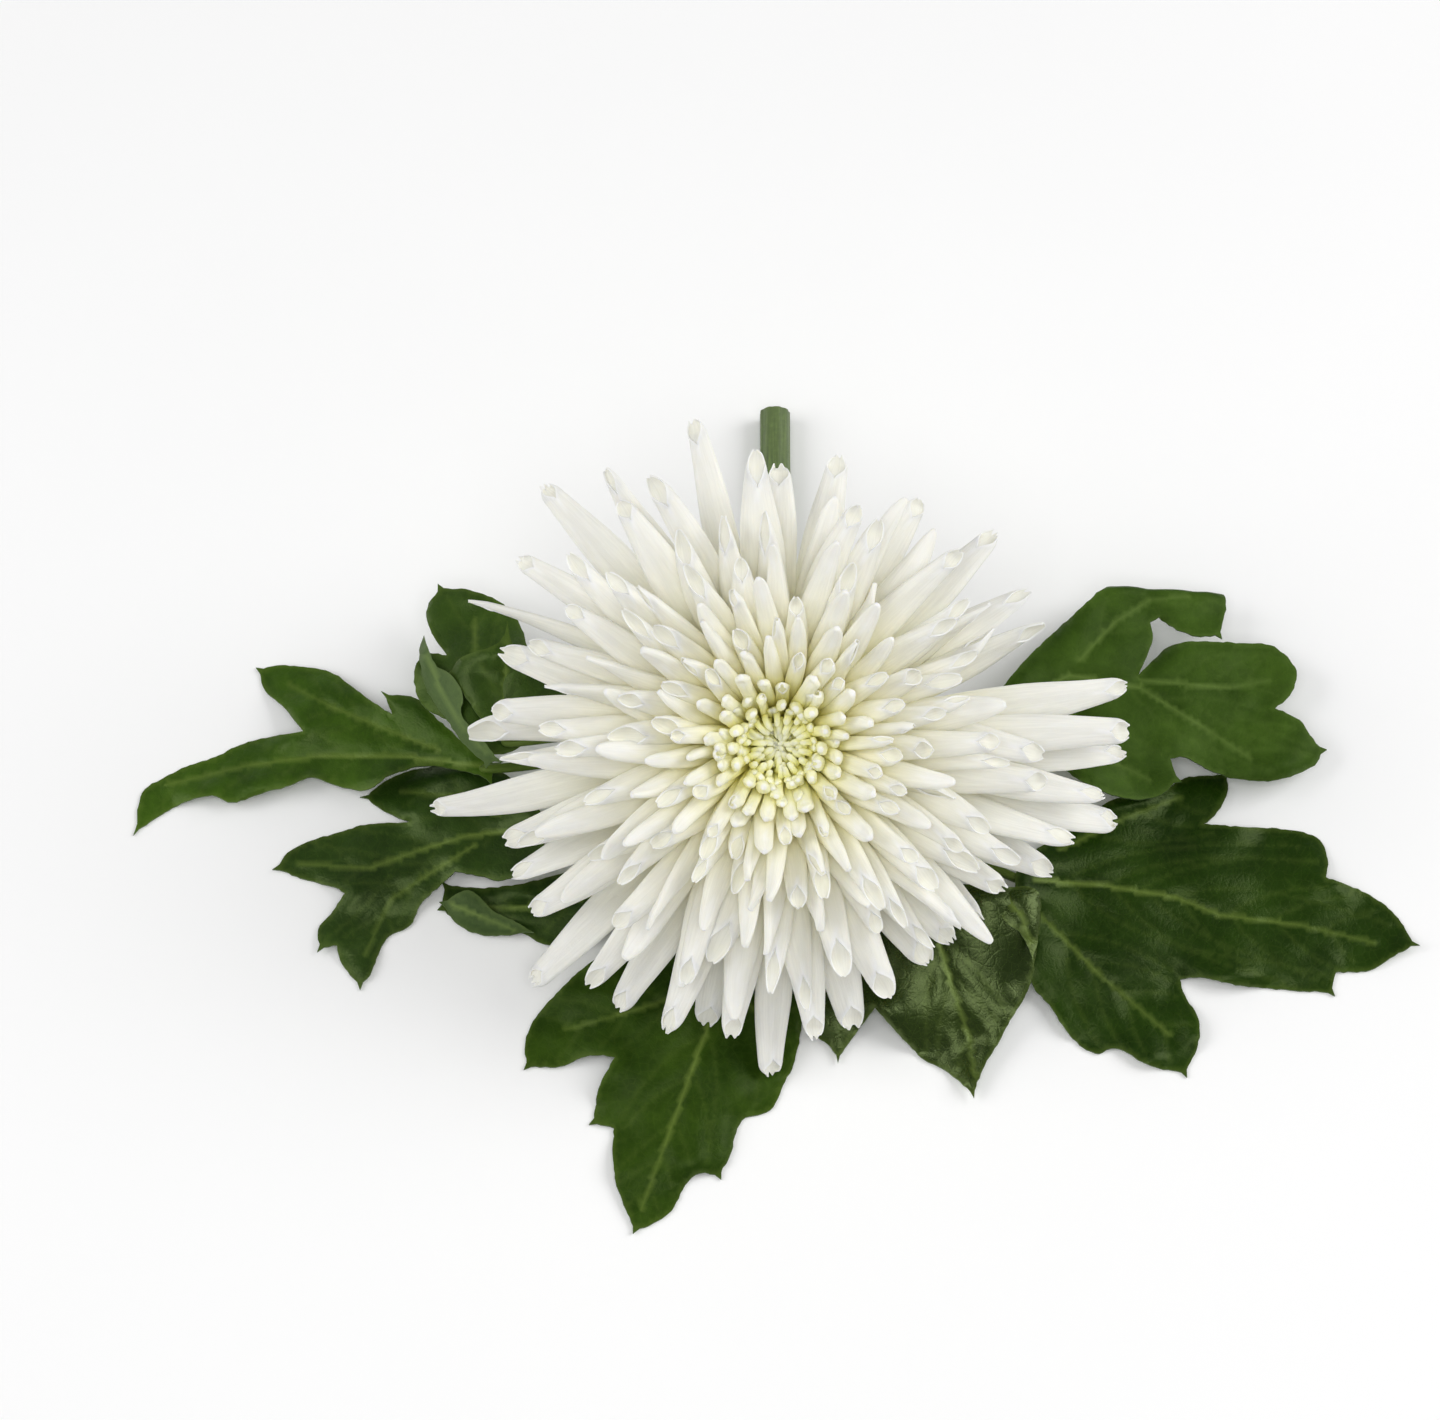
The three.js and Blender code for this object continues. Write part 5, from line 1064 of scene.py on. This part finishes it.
VEIN = (0.165, 0.235, 0.045)
UNDER = (0.125, 0.185, 0.085)
LEAVES = [
    dict(name="leaf_front", dark=(0.0215, 0.0575, 0.0042), light=(0.0560, 0.1170, 0.0095), rough=0.38, coat=0.03, seed=11,
         outline=[(632, 930), (600, 955), (575, 975), (550, 1000), (531, 1025), (525, 1045), (527, 1066), (560, 1066), (590, 1055), (615, 1057), (600, 1085), (593, 1122), (614, 1128), (613, 1160), (618, 1190), (635, 1229), (650, 1225), (672, 1210), (685, 1185), (700, 1173), (719, 1175), (730, 1155), (742, 1120), (770, 1110), (783, 1085), (795, 1060), (802, 1020), (803, 985), (790, 955), (758, 938), (735, 955), (722, 975), (704, 972), (680, 945), (655, 930)],
         ribs=[[(718, 1000), (692, 1070), (665, 1145), (641, 1210)], [(700, 990), (618, 1015), (565, 1030)], [(730, 990), (770, 1020), (780, 1060)]],
         heights=[(718, 985, 7), (692, 1070, 4.2), (665, 1145, 2.6), (635, 1229, 0), (527, 1066, 0), (540, 1010, 1.5), (593, 1122, 0.3), (719, 1175, 0.8), (783, 1085, 0.3), (803, 985, 2.2), (632, 930, 5.5), (758, 938, 5.5), (770, 1030, 1.2)],
         stalk=dict(frm=(716, 985, 7.4), y=15, side=(-0.25, -1), clear=(3, 7), mid=[(714, 930, 9.5), (745, 840, 13)])),
    dict(name="leaf_right_large", dark=(0.0101, 0.0353, 0.0021), light=(0.0245, 0.0655, 0.0038), rough=0.33, coat=0.13, seed=12,
         outline=[(1020, 862), (1055, 838), (1090, 812), (1125, 796), (1160, 792), (1185, 778), (1225, 775), (1228, 790), (1215, 815), (1203, 824), (1245, 827), (1290, 830), (1320, 840), (1328, 860), (1326, 877), (1370, 895), (1395, 915), (1415, 944), (1390, 958), (1370, 970), (1336, 972), (1332, 992), (1290, 990), (1240, 985), (1200, 977), (1180, 979), (1185, 995), (1199, 1020), (1198, 1045), (1185, 1073), (1150, 1065), (1115, 1048), (1095, 1053), (1070, 1035), (1050, 1005), (1033, 985), (1026, 940), (1016, 900)],
         ribs=[[(1035, 880), (1100, 885), (1175, 897), (1220, 915), (1300, 925), (1375, 943)], [(1040, 915), (1100, 975), (1170, 1035)], [(1060, 850), (1120, 820), (1180, 797)]],
         heights=[(1018, 880, 7.5), (1100, 885, 4.8), (1220, 915, 3), (1415, 944, 0), (1328, 860, 0.8), (1228, 785, 0.6), (1332, 992, 0), (1185, 1073, 0), (1060, 1020, 1.6), (1125, 796, 2.6), (1180, 980, 1.8), (1055, 838, 6)],
         stalk=dict(frm=(1022, 880, 7.6), y=33, side=(1, 0), clear=(4, 7), mid=[(960, 850, 8.5), (870, 790, 8.5)])),
    dict(name="leaf_front_right", dark=(0.0096, 0.0256, 0.0027), light=(0.0240, 0.0475, 0.0045), rough=0.25, coat=0.50, seed=13,
         outline=[(905, 905), (930, 890), (965, 884), (1000, 885), (1028, 895), (1038, 925), (1036, 955), (1028, 990), (1010, 1020), (1000, 1040), (985, 1065), (973, 1093), (945, 1070), (925, 1060), (900, 1035), (875, 1007), (858, 1030), (838, 1058), (828, 1044), (813, 1034), (816, 1005), (838, 962), (864, 930)],
         ribs=[[(930, 910), (950, 980), (970, 1040), (974, 1075)]],
         heights=[(930, 895, 15), (950, 980, 9), (973, 1093, 0), (875, 1005, 4.5), (1036, 925, 12.5), (1030, 980, 8.5), (1005, 1030, 4), (905, 1040, 2.5), (838, 1058, 0.8), (816, 1020, 2.6), (840, 965, 5.4)],
         folds=[dict(outline=[(984, 898), (1005, 888), (1030, 887), (1039, 893), (1041, 915), (1038, 938), (1033, 960), (1027, 945), (1019, 931), (1008, 924), (1000, 915), (991, 906)],
                     ribs=[[(1005, 897), (1021, 915), (1031, 943)]],
                     heights=[(984, 898, 15.2), (1005, 888, 16.2), (1039, 893, 14.6), (1041, 915, 13.6), (1033, 960, 12.2), (1008, 924, 15.4), (1020, 910, 15.6)])],
         stalk=dict(frm=(932, 903, 14.6), y=17.5, side=(0.8, -0.6), clear=(3, 6), mid=[(896, 830, 16.5), (835, 770, 16)])),
    dict(name="leaf_right_upper", dark=(0.0399, 0.0917, 0.0090), light=(0.0825, 0.1638, 0.0198), rough=0.48, coat=0.00, seed=14, vein=(0.145, 0.225, 0.050),
         outline=[(1000, 690), (1030, 655), (1070, 618), (1115, 580), (1165, 569), (1212, 578), (1226, 600), (1219, 635), (1196, 636), (1181, 631), (1169, 625), (1159, 617), (1150, 622), (1153, 638), (1147, 656), (1137, 677), (1153, 660), (1168, 647), (1184, 642), (1206, 641), (1240, 643), (1270, 645), (1290, 660), (1297, 675), (1290, 695), (1275, 708), (1300, 720), (1310, 735), (1322, 750), (1315, 765), (1273, 780), (1235, 778), (1210, 770), (1185, 757), (1170, 758), (1177, 780), (1160, 795), (1125, 798), (1080, 780), (1040, 745), (1010, 715)],
         ribs=[[(1040, 690), (1070, 675), (1140, 688), (1200, 725), (1250, 758)], [(1140, 680), (1230, 688), (1270, 680)], [(1080, 660), (1115, 622), (1150, 600), (1190, 596)], [(1060, 700), (1110, 760), (1150, 780)]],
         heights=[(1002, 695, 14), (1140, 688, 11), (1200, 725, 9), (1322, 750, 6), (1297, 675, 7), (1210, 608, 9), (1120, 592, 12), (1160, 795, 8.5), (1273, 780, 6.5), (1080, 780, 12.5)],
         rolls=[((1235, 599, 9.5), (1095, 597, 12.0), 2.5, -1)],
         stalk=dict(frm=(1006, 700, 14.4), y=24, side=(0.9, 0.35), clear=(4, 5), mid=[(930, 715, 16.5), (860, 720, 16.5)])),
    dict(name="leaf_left_lower", dark=(0.0115, 0.0385, 0.0042), light=(0.0330, 0.0800, 0.0088), rough=0.35, coat=0.32, seed=15,
         outline=[(503, 880), (480, 876), (455, 871), (440, 885), (420, 905), (410, 925), (390, 935), (380, 950), (370, 975), (360, 985), (350, 975), (340, 960), (337, 945), (320, 948), (318, 930), (330, 915), (345, 893), (335, 887), (300, 878), (277, 868), (287, 853), (307, 842), (340, 832), (365, 825), (410, 822), (386, 812), (365, 797), (395, 776), (440, 766), (490, 768), (530, 795), (545, 830), (535, 865)],
         ribs=[[(525, 830), (470, 835), (420, 850), (370, 868), (300, 864)], [(475, 845), (420, 880), (390, 900), (365, 955)], [(500, 815), (450, 795), (400, 792)]],
         heights=[(540, 835, 7.5), (450, 845, 4), (370, 866, 1.8), (277, 868, 0), (360, 985, 0), (318, 940, 0.4), (365, 797, 0.5), (490, 768, 3.6), (440, 885, 3.2), (500, 878, 5)],
         stalk=dict(frm=(534, 834, 7.4), y=29, side=(-1, 0), clear=(4, 7), mid=[(600, 808, 8.5), (690, 775, 8.5)])),
    dict(name="leaf_left_small", dark=(0.0133, 0.0400, 0.0048), light=(0.0323, 0.0740, 0.0090), rough=0.38, coat=0.15, seed=16,
         outline=[(445, 885), (442, 908), (465, 928), (485, 933), (520, 932), (545, 944), (575, 945), (600, 930), (622, 905), (626, 885), (600, 868), (560, 874), (520, 884), (480, 888)],
         ribs=[[(600, 893), (560, 903), (510, 908), (470, 905)]],
         heights=[(622, 890, 7), (560, 905, 3.6), (510, 908, 1.3), (445, 900, 0), (545, 942, 1.4), (520, 886, 1.9), (485, 932, 0.2), (560, 876, 3.4)],
         folds=[dict(outline=[(444, 903), (456, 894), (468, 890), (480, 897), (492, 910), (505, 917), (520, 924), (529, 931), (505, 935), (480, 934), (461, 926), (449, 914)],
                     ribs=[[(453, 905), (480, 916), (514, 930)]], pale=0.22,
                     heights=[(444, 903, 1.2), (461, 926, 1.4), (505, 935, 2.2), (529, 931, 2.9), (468, 890, 3.8), (492, 910, 4.0), (520, 924, 3.8)])],
         stalk=dict(frm=(613, 890, 6.2), y=20, side=(-0.85, -0.55), clear=(3, 6), mid=[(660, 850, 10.5), (715, 790, 13)])),
    dict(name="leaf_left_upper", dark=(0.0262, 0.0760, 0.0042), light=(0.0740, 0.1660, 0.0104), rough=0.37, coat=0.22, seed=17,
         outline=[(497, 764), (480, 757), (455, 735), (430, 712), (415, 698), (385, 694), (392, 714), (370, 700), (350, 685), (330, 672), (281, 665), (260, 670), (265, 690), (285, 708), (303, 731), (270, 737), (240, 745), (215, 757), (190, 765), (165, 777), (142, 793), (136, 831), (165, 812), (190, 800), (212, 795), (232, 802), (262, 793), (290, 785), (312, 777), (330, 783), (365, 790), (390, 775), (425, 766), (470, 772), (490, 780)],
         ribs=[[(480, 766), (410, 757), (320, 756), (250, 765), (165, 785)], [(440, 750), (400, 735), (330, 706), (290, 685)]],
         heights=[(490, 768, 9.5), (425, 750, 7.4), (330, 718, 4.6), (262, 678, 1.2), (330, 765, 4.4), (240, 768, 2.4), (136, 831, 0), (365, 790, 4.2), (385, 697, 5.5)],
         stalk=dict(frm=(486, 769, 9.2), y=41, side=(-1, 0.1), clear=(4, 7), mid=[(570, 758, 8), (680, 715, 6.5)])),
    dict(name="leaf_left_curled", dark=(0.0240, 0.0625, 0.0063), light=(0.0600, 0.1250, 0.0140), rough=0.36, coat=0.25, seed=18,
         outline=[(440, 588), (426, 612), (436, 640), (447, 655), (424, 652), (414, 672), (422, 704), (450, 722), (468, 742), (486, 753), (508, 752), (530, 738), (556, 720), (568, 690), (556, 672), (530, 682), (528, 655), (520, 625), (500, 602), (470, 590)],
         ribs=[[(508, 735), (490, 700), (475, 655), (475, 620)]],
         heights=[(500, 748, 16), (490, 700, 17), (475, 650, 17.5), (475, 605, 14), (422, 665, 14), (440, 615, 13), (548, 680, 20), (455, 725, 15.5)],
         folds=[dict(outline=[(451, 674), (457, 661), (474, 652), (492, 646), (502, 638), (507, 626), (511, 640), (520, 652), (545, 668), (566, 688), (560, 712), (535, 733), (508, 738), (485, 722), (468, 700)],
                     ribs=[[(500, 728), (505, 700), (506, 668), (507, 643)]], wavy=0.9, relief=1.0,
                     heights=[(451, 674, 18.3), (480, 655, 20.4), (507, 628, 21.8), (520, 652, 20.6), (545, 668, 21.8), (560, 700, 20.6), (508, 736, 18.0), (480, 712, 18.6), (500, 690, 18.8)]),
                dict(outline=[(419, 650), (424, 640), (431, 655), (437, 667), (449, 673), (458, 684), (463, 698), (461, 712), (467, 723), (479, 735), (489, 748), (498, 760), (487, 763), (473, 752), (459, 738), (445, 716), (433, 700), (424, 682)],
                     ribs=[[(427, 656), (441, 690), (459, 722), (485, 752)]], pale=0.38,
                     heights=[(419, 650, 14.6), (424, 682, 15.2), (445, 716, 16.4), (473, 752, 16.8), (431, 655, 17.4), (449, 673, 19.0), (463, 698, 19.2), (479, 735, 18.8), (498, 760, 18.0)])],
         stalk=dict(frm=(506, 742, 16.4), y=14, side=(-0.9, 0.4), clear=(4, 5), mid=[(580, 735, 19), (690, 735, 20)])),
]


def catmull(points, n):
    """Centripetal Catmull-Rom through the points, n steps overall."""
    P = np.array(points, float)
    P = np.vstack([2 * P[0] - P[1], P, 2 * P[-1] - P[-2]])
    segs = len(P) - 3
    out = []
    for u in np.linspace(0, segs, n):
        i = min(int(u), segs - 1)
        t = u - i
        p0, p1, p2, p3 = P[i:i + 4]
        t01, t12, t23 = (max(np.linalg.norm(b - a) ** 0.5, 1e-4) for a, b in ((p0, p1), (p1, p2), (p2, p3)))
        m1 = (p2 - p1 + t12 * ((p1 - p0) / t01 - (p2 - p0) / (t01 + t12)))
        m2 = (p2 - p1 + t12 * ((p3 - p2) / t23 - (p3 - p1) / (t12 + t23)))
        out.append((2 * t ** 3 - 3 * t ** 2 + 1) * p1 + (t ** 3 - 2 * t ** 2 + t) * m1 + (-2 * t ** 3 + 3 * t ** 2) * p2 + (t ** 3 - t ** 2) * m2)
    return np.array(out)


def blade(L, rng_np):
    outline = fine_outline(L["outline"], rng_np)
    ribs = [np.array(r, float) for r in L["ribs"]]
    sides = side_veins(L["ribs"], outline, rng_np)
    # points: a fine staggered grid plus the ribs themselves
    g = 5.2
    lo, hi = outline.min(0), outline.max(0)
    pts = []
    for row, y in enumerate(np.arange(lo[1], hi[1], g * 0.87)):
        xs = np.arange(lo[0] + (row % 2) * g / 2, hi[0], g)
        pts.append(np.stack([xs, np.full(len(xs), y)], 1))
    pts = np.concatenate(pts)
    pts = pts[inside(pts, outline)]
    pts = pts[poly_dist(pts, outline) > 2.6]
    rib_pts = []
    for ri, r in enumerate(ribs + sides):
        d = np.linalg.norm(np.diff(r, axis=0), axis=1)
        for a, b, l in zip(r[:-1], r[1:], d):
            k = max(1, int(l / (2.5 if ri < len(ribs) else 4.0)))
            for q in range(k):
                rib_pts.append(a + (b - a) * q / k)
        rib_pts.append(r[-1])
    rib_pts = np.array(rib_pts)
    rib_pts = rib_pts[inside(rib_pts, outline)]
    rib_pts = rib_pts[poly_dist(rib_pts, outline) > 2.2]
    keep = []
    for q in rib_pts:
        if not keep or np.min(np.linalg.norm(np.array(keep) - q, axis=1)) > 1.8:
            keep.append(q)
    rib_pts = np.array(keep)
    dd = np.array([np.linalg.norm(rib_pts - p, axis=1).min() for p in pts])
    pts = pts[dd > 2.4]
    P = np.concatenate([outline, rib_pts, pts])
    res = delaunay_2d_cdt([Vector(p) for p in P], [], [list(range(len(outline)))], 1, 1e-4)
    V2 = np.array([tuple(v) for v in res[0]])
    tris = np.array([f for f in res[2] if len(f) == 3])
    # distances
    mainA, mainB, w0 = [], [], []
    for ri, r in enumerate(ribs):
        L0 = np.concatenate([[0], np.cumsum(np.linalg.norm(np.diff(r, axis=0), axis=1))])
        for q in range(len(r) - 1):
            mainA.append(r[q]); mainB.append(r[q + 1])
            w0.append((1.0 if ri == 0 else 0.75) * (1 - 0.62 * L0[q] / L0[-1]))
    dm, tm_ = seg_dist(V2, np.array(mainA), np.array(mainB))
    im = dm.argmin(1)
    dmain = dm[np.arange(len(V2)), im]
    wmain = np.array(w0)[im]
    if sides:
        sA = np.concatenate([s[:-1] for s in sides]); sB = np.concatenate([s[1:] for s in sides])
        dside = seg_dist(V2, sA, sB)[0].min(1)
    else:
        dside = np.full(len(V2), 99.0)
    dedge = poly_dist(V2, outline)
    dall = np.minimum(dmain * 0.9, dside)
    zf = height_field(L["heights"])
    z = zf(V2[:, 0], V2[:, 1])
    ph = rng_np.random(8) * 6.28
    x, y = V2[:, 0], V2[:, 1]
    und = (np.sin(x / 15.5 + ph[0] + 0.6 * np.sin(y / 21 + ph[1])) * 0.55 + np.sin(y / 13.0 + ph[2] + 0.5 * np.sin(x / 19 + ph[3])) * 0.55
           + np.sin((x + y) / 24 + ph[4]) * 0.6)
    margin = smooth(34, 0, dedge)
    rip = np.sin(x / 7.6 + ph[5] + 0.9 * np.sin(y / 11 + ph[6])) + np.sin(y / 6.9 + ph[7] + 0.8 * np.sin(x / 12 + ph[0]))
    z = z + (und * (0.45 + 0.95 * margin) + 0.17 * rip * (0.25 + 0.75 * margin)) * L.get("wavy", 1.0)
    quilt = 1 - np.exp(-(dmain * 0.8 / 9) ** 2) * 0.6 - np.exp(-(dside / 9.5) ** 2) * 0.5
    z = z + 0.72 * L.get("relief", 1.0) * quilt - 0.30 * np.exp(-(dmain / 3.0) ** 2) * wmain
    z = z - 0.5 * smooth(10, 0, dedge) * L.get("droop", 1.0)
    t = 0.42 + 0.12 * wmain * np.exp(-(dmain / 5) ** 2)
    ridge = 0.75 * wmain * np.exp(-(dmain / 3.4) ** 2) + 0.22 * np.exp(-(dside / 2.6) ** 2)
    zb = z - t - ridge * smooth(0, 8, dedge)
    lift = 0.06 - zb
    soft = np.where(lift > -0.6, np.log1p(np.exp(np.clip(lift, -20, 20) / 0.18)) * 0.18, 0)
    z, zb = z + soft, zb + soft
    top = plan_to_world(x, y, z)
    bot = top.copy()
    bot[:, 2] = zb
    # rolled margins
    for (p0, p1, rho, zdir) in L.get("rolls", []):
        A, B = plan_to_world(*p0), plan_to_world(*p1)
        d = (B - A); d[2] = 0; d /= np.linalg.norm(d)
        nrm = np.array([d[1], -d[0], 0.0])
        for S in (top, bot):
            s = (S - A) @ nrm
            sel = s > 0
            ang = s[sel] / rho
            hgt = S[sel, 2]
            base_pts = S[sel] - s[sel][:, None] * nrm
            extra = 0.0
            S[sel] = base_pts + (rho * np.sin(ang))[:, None] * nrm + np.stack([0 * ang, 0 * ang, zdir * rho * (1 - np.cos(ang)) + extra], 1)
    n = len(V2)
    V = np.concatenate([top, bot])
    a2 = (V2[tris[:, 1]] - V2[tris[:, 0]]); b2 = (V2[tris[:, 2]] - V2[tris[:, 0]])
    ccw = (a2[:, 0] * b2[:, 1] - a2[:, 1] * b2[:, 0]) > 0
    # plan y runs down the picture, so a counter-clockwise plan triangle faces down in the world
    up_tris = np.where(ccw[:, None], tris[:, ::-1], tris)
    faces = [tuple(f) for f in up_tris] + [tuple(f[::-1] + n) for f in up_tris]
    edges = {}
    for f in up_tris:
        for a, b in ((f[0], f[1]), (f[1], f[2]), (f[2], f[0])):
            if (b, a) in edges:
                del edges[(b, a)]
            else:
                edges[(a, b)] = 1
    for a, b in edges:
        faces.append((a, a + n, b + n, b))
    vein = np.clip(0.66 * wmain * np.exp(-(dmain / 1.25) ** 2) + 0.085 * np.exp(-(dside / 1.2) ** 2), 0, 1)
    veins = np.concatenate([vein, vein])
    under = np.concatenate([np.zeros(n), np.ones(n)])
    edge = np.concatenate([smooth(4, 0, dedge)] * 2)
    luv = np.stack([x / 100 + L["seed"], y / 100, np.zeros(n)], 1)
    luv = np.concatenate([luv, luv])
    return V, faces, veins, under, edge, luv, V2, top, bot, ribs


def make_leaf(L):
    rng_np = np.random.default_rng(L["seed"])
    V, faces, veins, under, edge, luv, V2, top, bot, ribs = blade(L, rng_np)
    for e in L.get("folds", []):
        fv, ff, fvein, funder, fedge, fluv = blade({**L, "rolls": [], "wavy": 0.35, "relief": 0.35, **e}, rng_np)[:6]
        half = len(fv) // 2
        funder[:half] = e.get("pale", 0.0)
        faces += [tuple(np.array(f) + len(V)) for f in ff]
        V = np.concatenate([V, fv])
        veins, under, edge, luv = (np.concatenate(q) for q in ((veins, fvein), (under, funder), (edge, fedge), (luv, fluv + np.array([0.37, 0.21, 0]))))
    # the stalk, running on under the blade as its midrib
    st = L["stalk"]
    sp_, st_t = stem_at(st["y"])
    upv = np.cross(X, st_t); upv /= np.linalg.norm(upv)
    out = X * st["side"][0] + upv * st["side"][1]
    out /= np.linalg.norm(out)
    near = sp_ + out * (STEM_R + st["clear"][0]) - st_t * st["clear"][1]
    knee = sp_ + out * (STEM_R + 2.1) - st_t * 0.5
    joint = sp_ + out * (STEM_R - 0.5)
    start = plan_to_world(st["frm"][0], st["frm"][1], st["frm"][2] + LEAF_T * 0.5)
    main = ribs[0]
    def low(px, py, dz):
        i = np.argmin((V2[:, 0] - px) ** 2 + (V2[:, 1] - py) ** 2)
        return (top[i] + bot[i]) / 2 + np.array([0, 0, dz])
    blade_pts = [low(*(main[0] + (main[1] - main[0]) * f), dz) for f, dz in ((1.0, -0.05), (0.5, -0.1), (0.0, -0.1))]
    ctrl = blade_pts + [start] + [plan_to_world(*m) for m in st["mid"]] + [near, knee, joint]
    path = catmull(ctrl, 64)
    radii = np.interp(np.linspace(0, 1, 64), [0, 0.12, 0.3, 0.45, 0.9, 1.0], [0.28, 0.55, 0.85, 1.05, 1.25, 1.75])
    path[:, 2] = np.maximum(path[:, 2], radii + 0.05)

    def channel(th, rows):
        up_ = np.exp(-((th - math.pi / 2) / 0.5) ** 2)
        return np.tile(1 - 0.30 * up_ + 0.05 * np.cos(5 * th), (rows, 1))

    rg, th = tube_rings(path, radii, 20, np.array([0.03, 0.05, 1.0]), channel)
    tv, tf = loft(rg)
    tf = outward(tv, tf)
    off = len(V)
    V = np.concatenate([V, tv])
    faces += [tuple(np.array(f) + off) for f in tf]
    m_ = len(tv)
    side_of = np.tile(np.sin(th), 64)
    veins = np.concatenate([veins, np.full(m_, 0.42)])
    under = np.concatenate([under, 0.35 * smooth(0.2, -0.6, side_of)])
    edge = np.concatenate([edge, np.zeros(m_)])
    luv = np.concatenate([luv, np.stack([np.repeat(np.arange(64) * 0.05, 20), np.tile(th * 0.3, 64), np.full(m_, 3.0)], 1)])
    mat = leaf_material("mat_" + L["name"], L["dark"], L["light"], L.get("vein", VEIN), L.get("under", UNDER), L["rough"], L["coat"])
    ob = build(L["name"] + "_blade", V, faces, [mat], None, {"luv": luv, "vein": veins, "under": under, "edge": edge}, sharp=65)
    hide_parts(L["name"])
    return ob


for L in LEAVES:
    make_leaf(L)

# ------------------------------------------------------------------ floor, light, camera
fm, fnt, fp = new_mat("floor_pale")
fn = node(fnt, "ShaderNodeTexNoise", Scale=60.0, Detail=3.0)
fnt.links.new(ramp(fnt, fn.outputs["Fac"], [(0.3, (0.975, 0.975, 0.975)), (0.7, (0.985, 0.985, 0.985))]), fp.inputs["Base Color"])
fp.inputs["Roughness"].default_value = 0.75
fp.inputs["Specular IOR Level"].default_value = 0.2
fme = bpy.data.meshes.new("floor")
fme.from_pydata([(-3, -3, 0), (3, -3, 0), (3, 3, 0), (-3, 3, 0)], [], [(0, 1, 2, 3)])
fme.materials.append(fm)
floor = bpy.data.objects.new("floor", fme)
bpy.context.scene.collection.objects.link(floor)

world = bpy.data.worlds.new("studio")
bpy.context.scene.world = world
world.use_nodes = True
world.node_tree.nodes["Background"].inputs[0].default_value = (1.0, 1.0, 1.0, 1.0)
world.node_tree.nodes["Background"].inputs[1].default_value = 0.30


def area(name, loc, target, size, power, colour=(1, 1, 1)):
    ld = bpy.data.lights.new(name, "AREA")
    ld.shape = "RECTANGLE"
    ld.size, ld.size_y = size
    ld.energy = power
    ld.color = colour
    o = bpy.data.objects.new(name, ld)
    o.location = loc
    d = Vector(target) - Vector(loc)
    o.rotation_euler = d.to_track_quat("-Z", "Y").to_euler()
    bpy.context.scene.collection.objects.link(o)
    return o


area("right", (1.15, 0.25, 0.95), (0, 0, 0.03), (0.9, 1.0), 11.2)
area("left", (-1.15, -0.05, 0.95), (0, 0, 0.03), (0.9, 1.0), 7.8)
area("above", (0.0, -0.66, 1.45), (0, 0, 0.03), (0.9, 0.7), 6.8)

cam_d = bpy.data.cameras.new("camera")
cam_d.sensor_width = 36.0
cam_d.lens = 36.0 * VIEW_DIST / (1440 * SCALE)
cam_d.clip_start = 0.05
cam = bpy.data.objects.new("camera", cam_d)
cam.location = Vector((VIEWPOINT + SHIFT) / 1000.0)
cam.rotation_euler = Vector(-VDIR).to_track_quat("-Z", "Y").to_euler()
bpy.context.scene.collection.objects.link(cam)
bpy.context.scene.camera = cam
bpy.context.scene.view_settings.view_transform = "Standard"
bpy.context.scene.cycles.diffuse_bounces = 10
bpy.context.scene.cycles.max_bounces = 12
